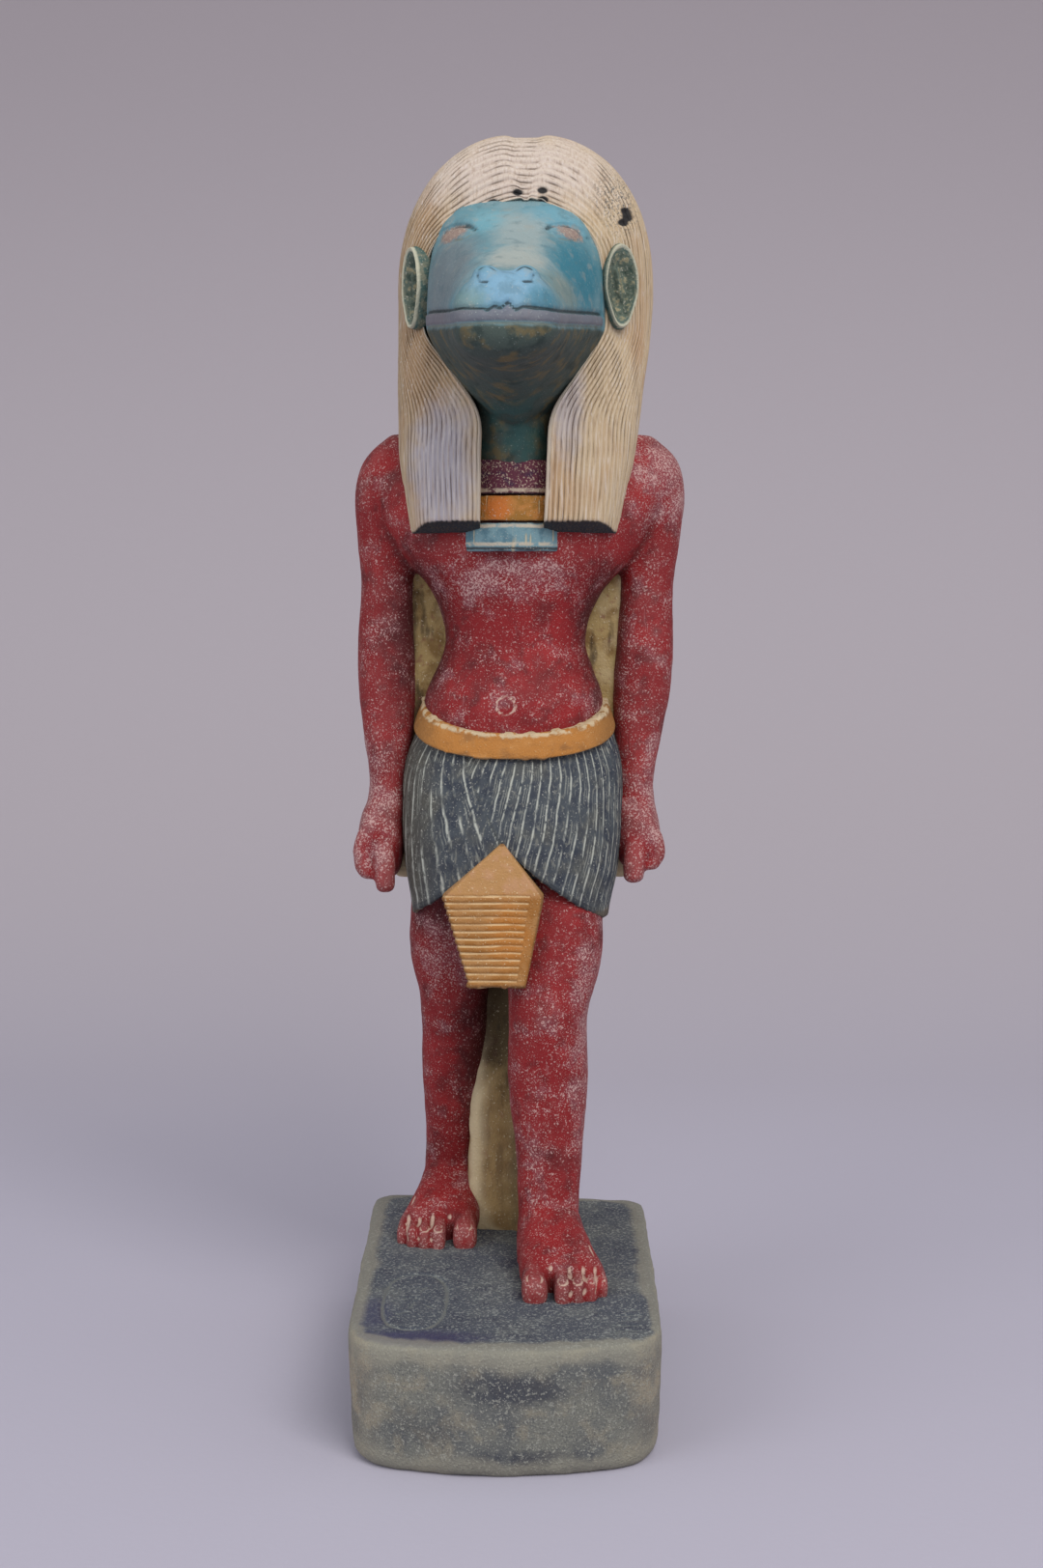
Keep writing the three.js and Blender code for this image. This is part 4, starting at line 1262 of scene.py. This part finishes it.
class Paint:
    def __init__(self, name):
        self.material = bpy.data.materials.new(name)
        self.material.use_nodes = True
        self.tree = self.material.node_tree
        self.shader = self.tree.nodes["Principled BSDF"]
        self.place = self.node(
            "ShaderNodeVectorMath",
            {"operation": "SCALE"},
            {0: self.node("ShaderNodeTexCoord", {}, {}, "Object"), 3: 1000},
        )
        apart = self.node("ShaderNodeSeparateXYZ", {}, {0: self.place}).socket.node
        self.x, self.y, self.z = (Wire(self, output) for output in apart.outputs)

    def node(self, kind, settings, inputs, output=0):
        made = self.tree.nodes.new(kind)
        for key, value in settings.items():
            setattr(made, key, value)
        for key, value in inputs.items():
            if isinstance(value, Wire):
                self.tree.links.new(value.socket, made.inputs[key])
            else:
                made.inputs[key].default_value = value
        return Wire(self, made.outputs[output])

    def held(self, name):
        return self.node("ShaderNodeAttribute", {"attribute_name": name}, {}, "Fac")

    def cloud(self, size, detail=2, stretch=(1, 1, 1), shift=0):
        at = self.node("ShaderNodeMapping", {}, {0: self.place, 1: (shift, shift, shift), 3: stretch})
        return self.node("ShaderNodeTexNoise", {}, {"Vector": at, "Scale": 1 / size, "Detail": detail})

    def patch(self, centre, radii, edge=0.5):
        away = self.node("ShaderNodeVectorMath", {"operation": "SUBTRACT"}, {0: self.place, 1: centre})
        share = self.node("ShaderNodeVectorMath", {"operation": "DIVIDE"}, {0: away, 1: radii})
        far = self.node("ShaderNodeVectorMath", {"operation": "LENGTH"}, {0: share}, "Value")
        ragged = far + (self.cloud(min(radii) * 0.5, 4) - 0.5) * 0.9
        return 1 - ragged.fades(1 - edge, 1 + edge)

    def mix(self, under, over, share):
        return self.node("ShaderNodeMix", {"data_type": "RGBA"}, {0: share, 6: under, 7: over}, 2)

    def layers(self, colour, *coats):
        for over, share in coats:
            colour = self.mix(colour, tint(*over), share)
        return colour

    def finish(self, colour, roughness, height, depth, *names):
        bump = self.node("ShaderNodeBump", {}, {"Height": height, "Distance": depth / 1000, "Strength": 1})
        for key, value in (("Base Color", colour), ("Roughness", roughness), ("Normal", bump)):
            self.tree.links.new(value.socket, self.shader.inputs[key])
        self.shader.inputs["Specular IOR Level"].default_value = 0.35
        for name in names:
            pieces[name].data.materials.clear()
            pieces[name].data.materials.append(self.material)
        print(f"{self.material.name}: {len(self.tree.nodes)} nodes, on {', '.join(names)}")


print("a mid grey as light:", round(tint(128, 128, 128)[0], 3))

# %% [markdown]
# Red skin. A crimson coat over chalky ground, rubbed to a purplish bloom in patches, darkened as
# painted shade in hollows, and everywhere pricked with pale specks where the ground shows. Scored
# lines are pale. Each piece also lists patches of painted shade where its own parts shade it.

# %% Red skin paint


def red_skin(name, dusty, dark, *targets):
    paint = Paint(name)
    hollow = paint.held("hollow")
    broad = paint.cloud(16, 3)
    mottle = paint.cloud(4.5, 5, shift=7)
    grain = paint.cloud(0.55, 3, shift=3)
    fine = paint.cloud(0.28, 2, shift=11)
    scratch = paint.cloud(1.1, 3, (1, 1, 0.16), 19)
    dust = paint.cloud(7, 4, shift=31).fades(0.42, 0.7)
    for centre, radii in dusty:
        dust = dust + paint.patch(centre, radii)
    # A random darker tone, with the listed patches added to it as painted shade.
    shade = paint.cloud(9, 3, shift=43).fades(0.5, 0.75) * 0.5
    for centre, radii in dark:
        shade = shade + paint.patch(centre, radii) * 0.8
    worn = (hollow * -1).fades(0.02, 0.22)
    # Hollows are darkened as painted shade.
    painted_hollow_shade = hollow.fades(0.03, 0.3)
    specks = (grain + dust * 0.07 + worn * 0.05).fades(0.62, 0.7)
    pricks = (fine + dust * 0.06).fades(0.66, 0.72)
    colour = paint.layers(
        tint(128, 20, 24),
        ((150, 26, 28), broad.fades(0.45, 0.7) * 0.8),
        ((92, 20, 24), mottle.fades(0.5, 0.72) * 0.75),
        ((64, 16, 20), paint.node("ShaderNodeMath", {"operation": "MINIMUM"}, {0: shade, 1: 0.85})),
        ((132, 74, 82), (dust * mottle).fades(0.2, 0.75) * 0.55),
        ((70, 26, 24), painted_hollow_shade * 0.6),
        ((158, 104, 104), scratch.fades(0.62, 0.74) * 0.35),
        ((150, 96, 94), worn * mottle * 0.7),
        ((196, 160, 154), specks * 0.7),
        ((206, 176, 168), pricks * 0.6),
        ((205, 178, 160), paint.held("cut").fades(0.35, 0.8) * 0.75),
    )
    rough = 0.62 + grain * 0.2 - broad.fades(0.4, 0.7) * 0.12
    height = grain * 0.5 + fine * 0.25 + mottle * 0.8 - scratch.fades(0.6, 0.72) * 0.3
    paint.finish(colour, rough, height, 0.35, *targets)


red_skin(
    "painted red skin",
    [((45, 30, 243), (14, 20, 13)), ((2, 14, 214), (20, 10, 6)), ((-40, 30, 150), (9, 14, 22)), ((42, 30, 150), (9, 14, 18))],
    # patches of painted shade on the sides of the body beside the arms
    [((-24, 26, 200), (9, 14, 22)), ((26, 26, 200), (7, 14, 20))],
    "torso_and_arms",
)
red_skin(
    "painted red legs",
    [((22, 10, 85), (7, 16, 34)), ((-14, 20, 112), (12, 14, 10)), ((8, 6, 60), (4, 10, 18))],
    # patches of painted shade on the inner side of the back leg and on its top under the kilt
    [((-8, 36, 92), (7, 14, 40)), ((-12, 26, 124), (14, 14, 8))],
    "legs_and_feet",
)

# %% [markdown]
# The wig is creamy lime over stone. Each strand has a thin brown groove and a pale ridge, drawn
# from the strand number that was kept on the mesh. Tan, pinkish and bluish washes lie over it in
# broad patches, and soot has settled in the pits. Its side at negative x, the figure's right, is
# darkened as painted shade, and its underside is dark slate paint deepened as painted shade.

# %% Wig paint
wig_paint = Paint("limed strands")
number = wig_paint.held("strand")
hair = wig_paint.held("hair")


def strand_line(paint, number, shift, width):
    across = (number + shift).sum("FRACT") - 0.5
    return 1 - across.sum("ABSOLUTE").fades(0, width)


broken = wig_paint.cloud(5, 4, (1, 1, 0.3), 5)
fibre = wig_paint.cloud(0.5, 3, (1, 1, 0.06), 9)
grain = wig_paint.cloud(0.5, 2, shift=13)
broad = wig_paint.cloud(13, 3, (1, 1, 0.5), 15)
groove = strand_line(wig_paint, number, 0, 0.17) * broken.fades(0.38, 0.62) * hair
half_groove = strand_line(wig_paint, number, 0.42, 0.1) * broken.fades(0.52, 0.66) * hair
ridge = strand_line(wig_paint, number, 0.5, 0.25) * hair
tan = broad.fades(0.46, 0.68)
# Painted shade over the wig's side at negative x, the figure's right.
left_side = wig_paint.patch((-26, 20, 285), (12, 30, 40))
white = wig_paint.patch((2, 12, 322), (26, 20, 13))
blue = wig_paint.patch((-17, 4, 243), (8.5, 16, 17)) + wig_paint.patch((16, 4, 262), (4, 14, 16)) * 0.7
smudge = wig_paint.patch((30, 14, 314), (6, 10, 9), 0.7)
# The wig's underside: dark slate paint, deepened as painted shade under the lappets.
under = wig_paint.held("under")
colour = wig_paint.layers(
    tint(190, 168, 136),
    ((168, 130, 92), tan * 0.7),
    ((150, 122, 90), left_side * 0.6),
    ((200, 186, 178), white * 0.75),
    ((170, 168, 182), blue * 0.8),
    ((214, 202, 184), ridge * 0.35),
    ((214, 205, 198), fibre.fades(0.56, 0.72) * 0.5),
    ((136, 108, 82), fibre.fades(0.5, 0.3) * 0.35),
    ((112, 92, 74), groove * 0.75),
    ((128, 106, 84), half_groove * 0.6),
    ((84, 88, 88), smudge * grain.fades(0.5, 0.62) * 0.8),
    ((40, 38, 38), wig_paint.held("pit").fades(0.25, 0.6)),
    ((208, 196, 178), wig_paint.held("edge").fades(0.3, 0.7) * 0.7),
    ((46, 50, 54), under),
    ((88, 76, 60), under * grain.fades(0.5, 0.65) * 0.6),
)
height = fibre * 0.5 + grain * 0.3 - groove * 0.9 - half_groove * 0.4
wig_paint.finish(colour, 0.66 + grain * 0.2, height, 0.3, "wig")

# %% [markdown]
# The face is turquoise over grey, washed in soft patches: creamy between the eyes, light blue on
# the nose with a painted highlight on the nostrils, deep teal on one cheek. The lips are dark
# wandering lines. Everything below the mouth line is dark olive with brown blots, partly its paint
# and partly painted shade under the snout. Hollows are darkened as painted shade, and the dark
# lines over the eyes and round the nostrils are partly painted shade.

# %% Face paint
face = Paint("turquoise face")
above = face.held("above_mouth")
grain = face.cloud(0.5, 3)
mottle = face.cloud(3.6, 5, shift=3)
broad = face.cloud(9, 3, shift=21)
# Below the mouth line: dark olive paint, partly painted shade under the snout.
below_mouth_olive_and_shade = 1 - (above + (mottle - 0.5) * 1.2).fades(-1.2, 0.2)
neck = 1 - (face.z + (mottle - 0.5) * 6).fades(255, 266)
eyes = sum((face.patch((x, 6, EYE_Z - 0.2), (4.4, 8, 2.5), 0.25) for x in EYES.values()), start=face.x * 0)
hollow = face.held("hollow")
colour = face.layers(
    tint(96, 138, 148),
    ((128, 152, 156), broad.fades(0.42, 0.66) * 0.7),
    ((104, 156, 172), face.patch((12, 4, 306), (9, 12, 5)) * 0.8),
    ((112, 166, 178), face.patch((-4, 4, 304), (6, 12, 5)) * 0.7),
    ((150, 162, 160), face.patch((4, -8, 300), (7, 18, 10)) * 0.8),
    ((166, 170, 162), face.patch((3, -26, 291), (8, 14, 5)) * 0.8),
    ((110, 120, 124), face.patch((-14, -6, 288), (8, 26, 14)) * 0.85),
    ((36, 112, 130), face.patch((17, -2, 290), (8, 22, 11)) * 0.9),
    ((122, 132, 122), face.patch((13, -24, 283), (5, 14, 5)) * 0.7),
    # light blue on the nose, partly paint and partly a painted highlight on the nostril bumps
    ((122, 164, 190), face.patch((0.5, -50, 281), (9, 9, 5.5)) * 0.85),
    ((60, 120, 140), face.patch((8, -48, 277.5), (4, 10, 3)) * 0.7),
    ((118, 146, 140), face.patch((-8, -46, 277.6), (5, 10, 3)) * 0.6),
    ((150, 150, 140), mottle.fades(0.56, 0.7) * 0.35),
    ((70, 100, 108), mottle.fades(0.46, 0.3) * 0.35),
    ((110, 100, 108), face.held("teeth").fades(0.3, 0.8) * 0.75),
    ((60, 70, 62), below_mouth_olive_and_shade * 0.95),
    ((108, 94, 60), below_mouth_olive_and_shade * face.cloud(5, 4, shift=33).fades(0.5, 0.66) * 0.75),
    ((38, 52, 48), below_mouth_olive_and_shade * face.cloud(4, 4, shift=37).fades(0.52, 0.7) * 0.8),
    ((40, 82, 80), neck * face.cloud(6, 3, shift=41).fades(0.4, 0.6) * 0.7),
    ((150, 124, 112), eyes * 0.9),
    ((196, 180, 160), eyes * grain.fades(0.52, 0.64) * 0.6),
    ((176, 186, 178), grain.fades(0.62, 0.72) * (1 - below_mouth_olive_and_shade * 0.5) * 0.5),
    ((120, 122, 104), face.held("cut").fades(0.3, 0.8) * 0.6),
    # Dark lines: lid and lip lines, and painted shade under the brow and round the nostrils.
    ((30, 38, 40), face.held("dark_line_and_shade").fades(0.3, 0.8) * 0.85),
    # Painted shade in hollows.
    ((52, 66, 66), hollow.fades(0.08, 0.4) * 0.5),
)
rough = 0.5 + grain * 0.2 + below_mouth_olive_and_shade * 0.14
face.finish(colour, rough, grain * 0.4 + mottle * 0.9, 0.3, "crocodile_head")

ears = Paint("painted ears")
grain = ears.cloud(0.6, 3)
mottle = ears.cloud(2, 4, shift=9)
colour = ears.layers(
    tint(120, 122, 104),
    ((70, 96, 90), mottle.fades(0.4, 0.6)),
    # Dark green in the ear's hollow, partly paint and partly painted shade.
    ((48, 70, 62), ears.held("dip") * mottle.fades(0.6, 0.35) * 0.9),
    ((150, 142, 112), ears.held("dip") * mottle.fades(0.5, 0.66)),
    # The pale line along the rim, partly paint and partly a painted highlight on its edge.
    ((200, 196, 172), ears.held("rim").fades(0.3, 0.8) * 0.8),
    ((205, 198, 180), grain.fades(0.6, 0.7) * 0.5),
)
ears.finish(colour, 0.7 + grain * 0.15, grain + mottle, 0.3, "ear_on_its_right", "ear_on_its_left")

# %% [markdown]
# The collar's three bands are maroon, ochre and light blue, divided by a dark line with a pale
# one below it. Upright nicks in the lower bands are filled with cream.

# %% Collar paint
bands = Paint("collar bands")
grain = bands.cloud(0.5, 3)
mottle = bands.cloud(3, 4, shift=5)
level = bands.z + (mottle - 0.5) * 1.0
second = 1 - level.fades(236.1, 236.6)
third = 1 - level.fades(228.9, 229.4)
nick = bands.held("nick").fades(0.3, 0.8)
seams = sum(((1 - (level - z).sum("ABSOLUTE").fades(0.15, 0.6)) for z in (236.5, 229.3, 222.2)), start=level * 0)
pale_seams = sum(((1 - (level - z).sum("ABSOLUTE").fades(0.2, 0.7)) for z in (237.6, 228.2, 223.4)), start=level * 0)
ochre = bands.mix(tint(178, 120, 58), tint(150, 104, 40), mottle.fades(0.4, 0.6))
blue = bands.mix(tint(112, 144, 152), tint(84, 118, 130), mottle.fades(0.45, 0.65))
colour = bands.mix(bands.mix(tint(92, 40, 56), ochre, second), blue, third)
colour = bands.layers(
    colour,
    ((66, 34, 58), (1 - second) * mottle.fades(0.48, 0.7)),
    ((182, 160, 140), (1 - second) * grain.fades(0.54, 0.64) * 0.75),
    ((198, 108, 40), second * (1 - third) * bands.patch((-2.5, 8, 233), (3.4, 8, 3.4)) * 0.8),
    ((206, 188, 148), nick * second * 0.6),
    ((200, 184, 160), pale_seams * mottle.fades(0.35, 0.5) * 0.75),
    ((40, 34, 36), seams * 0.85),
    ((200, 190, 172), grain.fades(0.62, 0.7) * 0.5),
)
bands.finish(colour, 0.62 + grain * 0.2, grain + nick * -0.6, 0.3, "collar")

# %% [markdown]
# The belt is a warm ochre wash, with a chipped cream line along its top edge. It is darkened
# towards both sides, where it turns away, and in its hollows, as painted shade.

# %% Belt paint
belt_paint = Paint("ochre belt")
across = belt_paint.held("across")
grain = belt_paint.cloud(0.5, 3)
mottle = belt_paint.cloud(5, 4, (1, 1, 1.6), 7)
chip = belt_paint.cloud(2.2, 4, shift=17)
top_edge = (across + (chip - 0.5) * 0.35).fades(0.3, 0.42)
low_edge = 1 - (across + (chip - 0.5) * 0.2).fades(-0.5, -0.42)
# Painted shade towards both sides of the belt, where it turns away.
painted_shade_at_sides = (belt_paint.x - 1.6).sum("ABSOLUTE").fades(17, 27)
colour = belt_paint.layers(
    tint(178, 118, 52),
    ((150, 100, 48), mottle.fades(0.46, 0.66)),
    ((192, 138, 78), belt_paint.cloud(8, 3, shift=3).fades(0.5, 0.7) * 0.6),
    ((120, 92, 56), painted_shade_at_sides * 0.5),
    ((202, 184, 150), top_edge * chip.fades(0.4, 0.52) * 0.85),
    ((128, 116, 92), low_edge * 0.5),
    # Painted shade in hollows.
    ((70, 52, 40), belt_paint.held("hollow").fades(0.1, 0.4) * 0.5),
    ((214, 190, 150), grain.fades(0.63, 0.72) * 0.5),
)
belt_paint.finish(colour, 0.58 + grain * 0.2, grain + mottle, 0.3, "belt")

# %% [markdown]
# The kilt is slate, and its scored pleats are filled with chalky cream. The lines are sketchy:
# each fades and comes back. Thinner lines lie between them.

# %% Kilt paint
cloth = Paint("slate kilt")
number = cloth.held("pleat")
grain = cloth.cloud(0.5, 3)
mottle = cloth.cloud(4, 4, shift=9)
broken = cloth.cloud(3.2, 4, (1, 1, 0.28), 15)
chalk = cloth.cloud(0.9, 4, (1, 1, 0.4), 23)
main = strand_line(cloth, number, 0, 0.15) * broken.fades(0.36, 0.54)
thin = (strand_line(cloth, number, 0.5, 0.1) + strand_line(cloth, number, 0.27, 0.07)) * broken.fades(0.5, 0.64)
hem = 1 - (cloth.z - (mottle - 0.5) * 1.5 - 124.2).fades(0, 1.6)
left_side = 1 - cloth.x.fades(-27, -15)
colour = cloth.layers(
    tint(66, 72, 78),
    ((50, 56, 66), mottle.fades(0.42, 0.62)),
    ((84, 84, 78), cloth.cloud(9, 3, shift=31).fades(0.48, 0.7) * 0.6),
    ((82, 76, 62), left_side * 0.65),
    ((120, 120, 112), chalk.fades(0.54, 0.68) * 0.6),
    ((190, 192, 180), main * chalk.fades(0.3, 0.5) * 0.85),
    ((150, 152, 142), thin * 0.55),
    ((128, 110, 84), hem * 0.7),
    ((196, 194, 182), grain.fades(0.62, 0.7) * 0.5),
    # Painted shade in hollows.
    ((34, 38, 44), cloth.held("hollow").fades(0.1, 0.4) * 0.5),
)
cloth.finish(colour, 0.66 + grain * 0.16, grain * 0.6 + chalk * 0.6 - main * 0.5, 0.3, "kilt")

# %% [markdown]
# The apron is tan over ochre. Its ridges are cream along their crests as a painted highlight, and
# darker ochre stays between them. Hollows are darkened as painted shade.

# %% Apron paint
panel = Paint("ochre apron")
ridge = panel.held("ridge")
grain = panel.cloud(0.5, 3)
mottle = panel.cloud(3.4, 4, shift=3)
lower = 1 - panel.z.fades(130, 133)
colour = panel.layers(
    tint(176, 132, 82),
    ((152, 100, 42), lower * (0.45 + mottle.fades(0.4, 0.62) * 0.5)),
    ((176, 112, 44), panel.patch((0.5, -2, 121), (5.5, 6, 9)) * 0.8),
    ((186, 140, 104), (1 - lower) * mottle.fades(0.45, 0.65) * 0.7),
    # Cream on the ridge crests is a painted highlight.
    ((216, 186, 140), ridge.fades(0.3, 0.85) * (0.5 + mottle.fades(0.35, 0.55) * 0.4)),
    ((120, 78, 36), panel.held("cut").fades(0.2, 0.8) * 0.6),
    # Painted shade in hollows.
    ((110, 74, 40), panel.held("hollow").fades(0.06, 0.3) * 0.7),
    ((206, 180, 140), (panel.held("hollow") * -1).fades(0.08, 0.3) * 0.6),
    ((228, 206, 168), grain.fades(0.63, 0.71) * 0.6),
)
panel.finish(colour, 0.64 + grain * 0.2, grain + mottle, 0.3, "apron")

# %% [markdown]
# The stone between the limbs was washed with yellow ochre. Dark stain runs down beside the arms,
# heaviest beside the arm on the figure's right, where it is partly painted shade. The wall between
# the legs is painted dark above a beige strip at its foot, as painted shade, and hollows are
# darkened as painted shade. The back of the pillar is paler where it was handled.

# %% Ochre wash on the stone between the limbs
stone = Paint("ochre washed stone")
hollow = stone.held("hollow")
grain = stone.cloud(0.6, 3)
mottle = stone.cloud(5, 5, shift=3)
runs = stone.cloud(4, 4, (1, 1, 0.25), 11)
legs_gap = 1 - stone.z.fades(118, 126)
# Painted shade on the wall between the legs, above a beige strip at its foot.
painted_shade_between_legs = legs_gap * (stone.z + (mottle - 0.5) * 24).fades(64, 84)
behind = stone.y.fades(44, 52)
colour = stone.layers(
    tint(164, 140, 92),
    ((128, 100, 58), mottle.fades(0.46, 0.66)),
    ((186, 166, 126), stone.cloud(9, 3, shift=7).fades(0.5, 0.7) * 0.7),
    # Dark stain, heaviest beside the figure's right arm, where it is partly painted shade.
    ((58, 42, 26), (runs + stone.patch((-29, 34, 200), (6, 8, 40)) * 0.1).fades(0.52, 0.68) * (1 - behind * 0.6) * 0.8),
    ((112, 50, 50), stone.cloud(3, 4, shift=41).fades(0.58, 0.7) * (1 - behind) * 0.5),
    ((58, 48, 34), painted_shade_between_legs * 0.8),
    ((150, 122, 84), legs_gap * (1 - painted_shade_between_legs) * 0.6),
    ((176, 160, 128), behind * (0.3 + mottle.fades(0.4, 0.6) * 0.5)),
    # Painted shade in hollows.
    ((60, 46, 32), hollow.fades(0.1, 0.6) * 0.6),
    ((206, 190, 156), (hollow * -1).fades(0.06, 0.4) * 0.7),
    ((214, 200, 170), grain.fades(0.62, 0.7) * 0.6),
)
stone.finish(colour, 0.74 + grain * 0.16, grain * 0.7 + mottle, 0.4, "back_pillar_and_webs")

# %% [markdown]
# The base was painted slate on top and left chalky grey on its sides. A thick stipple of pale
# grains breaks through everywhere. One glossy navy patch stays in front, and the upright corners
# are rubbed to beige.

# %% Base paint
plinth = Paint("stippled slate base")
hollow = plinth.held("hollow")
top = (plinth.z + (plinth.cloud(3, 3) - 0.5) * 0.8).fades(31.0, 31.7)
grain = plinth.cloud(0.75, 4)
stipple = plinth.cloud(0.42, 3, shift=5)
mottle = plinth.cloud(6, 5, shift=9)
broad = plinth.cloud(17, 3, shift=15)
navy = plinth.patch((-22, -55, 31), (16, 5, 6)) + plinth.patch((-33, -38, 32), (4, 12, 4)) * 0.7
blots = plinth.patch((2, -63, 22), (14, 8, 4)) + plinth.patch((3, -63, 3), (20, 8, 4)) + plinth.patch((-20, -61, 12), (8, 6, 5)) * 0.5
corner = (plinth.x.sum("ABSOLUTE") + plinth.y * -0.4).fades(51, 60)
top_colour = plinth.layers(
    tint(74, 79, 88),
    ((92, 96, 98), broad.fades(0.42, 0.64)),
    ((56, 60, 74), mottle.fades(0.5, 0.7) * 0.8),
    ((146, 150, 146), (grain + broad * 0.1).fades(0.58, 0.68) * 0.75),
    ((170, 172, 168), stipple.fades(0.6, 0.68) * 0.6),
    ((50, 54, 88), navy * 0.8),
    ((112, 116, 114), plinth.held("cut").fades(0.3, 0.8) * 0.8),
)
side_colour = plinth.layers(
    tint(116, 116, 108),
    ((92, 94, 94), broad.fades(0.4, 0.62)),
    ((136, 130, 114), mottle.fades(0.46, 0.66) * 0.8),
    ((54, 57, 68), blots * mottle.fades(0.3, 0.5) * 0.85),
    ((164, 150, 126), corner * (0.35 + mottle.fades(0.4, 0.6) * 0.55)),
    ((152, 152, 142), grain.fades(0.56, 0.66) * 0.7),
    ((74, 76, 80), stipple.fades(0.44, 0.34) * 0.6),
    ((176, 174, 162), stipple.fades(0.61, 0.68) * 0.6),
)
colour = plinth.mix(side_colour, top_colour, top)
colour = plinth.layers(
    colour,
    ((150, 146, 130), (hollow * -1).fades(0.08, 0.4) * 0.6),
    ((172, 162, 142), hollow.fades(0.3, 1.2) * 0.5),
)
rough = 0.72 + grain * 0.16 - navy * top * 0.42
plinth.finish(colour, rough, grain * 0.8 + stipple * 0.5 + mottle * 0.6, 0.4, "base")

# %% [markdown]
# The floor runs back and curves up into a wall without an edge, as a roll of paper does in a
# studio. It is spun and extruded from one straight edge.

# %% Floor and backdrop
WIDE = 3.0
bm = bmesh.new()
left = bm.verts.new((-WIDE, -2.2, 0))
right = bm.verts.new((WIDE, -2.2, 0))
front_edge = bm.edges.new((left, right))
run = bmesh.ops.extrude_edge_only(bm, edges=[front_edge])
bmesh.ops.translate(bm, vec=(0, 2.55, 0), verts=[part for part in run["geom"] if isinstance(part, bmesh.types.BMVert)])
turning = [part for part in run["geom"] if isinstance(part, (bmesh.types.BMVert, bmesh.types.BMEdge))]
bent = bmesh.ops.spin(
    bm, geom=turning, cent=(0, 0.35, 0.7), axis=(1, 0, 0), dvec=(0, 0, 0), angle=math.radians(90), steps=32
)
rising = [part for part in bent["geom_last"] if isinstance(part, (bmesh.types.BMVert, bmesh.types.BMEdge))]
rise = bmesh.ops.extrude_edge_only(bm, edges=[part for part in rising if isinstance(part, bmesh.types.BMEdge)])
bmesh.ops.translate(bm, vec=(0, 0, 1.6), verts=[part for part in rise["geom"] if isinstance(part, bmesh.types.BMVert)])
bmesh.ops.remove_doubles(bm, verts=bm.verts, dist=0.0001)
bmesh.ops.recalc_face_normals(bm, faces=bm.faces)
for face in bm.faces:
    face.smooth = True
sweep_mesh = bpy.data.meshes.new("studio_sweep")
bm.to_mesh(sweep_mesh)
bm.free()
studio_sweep = bpy.data.objects.new("studio_sweep", sweep_mesh)
bpy.context.scene.collection.objects.link(studio_sweep)
studio_sweep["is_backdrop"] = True
pieces["studio_sweep"] = studio_sweep
paper = Paint("pale lilac paper")
# The paper is painted darker further back and higher up the wall, as painted shade.
far = (paper.y * 0.001).fades(0.1, 0.75)
high = (paper.z * 0.001).fades(0.1, 0.9)
colour = paper.mix(paper.mix(tint(186, 182, 196), tint(184, 176, 182), far), tint(160, 151, 156), high)
paper.finish(colour, 0.9 + paper.cloud(40, 2) * 0.05, paper.cloud(2, 3), 0.05, "studio_sweep")

# %% [markdown]
# Soft light comes from a wide panel above and in front, a little to the right, with a weaker one
# on the left and an even, slightly cool world round everything.

# %% Lights
def panel_light(name, place, towards, size, power_watts, colour):
    data = bpy.data.lights.new(name, "AREA")
    data.shape = "RECTANGLE"
    data.size, data.size_y = size
    data.energy = power_watts
    data.color = colour
    lamp = bpy.data.objects.new(name, data)
    lamp.location = place
    lamp.rotation_euler = (Vector(towards) - Vector(place)).to_track_quat("-Z", "Y").to_euler()
    bpy.context.scene.collection.objects.link(lamp)


panel_light("key_panel", (0.55, -1.1, 1.25), (0, 0, 0.17), (0.9, 0.9), 16, (1, 0.98, 0.96))
panel_light("fill_panel", (-1.1, -0.9, 0.7), (0, 0, 0.17), (0.9, 0.9), 5, (0.95, 0.97, 1))
world = bpy.data.worlds.new("even room light")
bpy.context.scene.world = world
world.use_nodes = True
room = world.node_tree.nodes["Background"]
room.inputs["Color"].default_value = (0.93, 0.95, 1, 1)
room.inputs["Strength"].default_value = 0.6
bpy.context.scene.view_settings.view_transform = "Standard"

# %% [markdown]
# Last, the whole object's box is printed beside the imported solid's box.

# %% Sizes and finish
shown_box = [list(corner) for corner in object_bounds()]
for name, box in (("solid", solid_box), ("shown", shown_box)):
    print(name, [[round(value * 1000, 1) for value in corner] for corner in box])
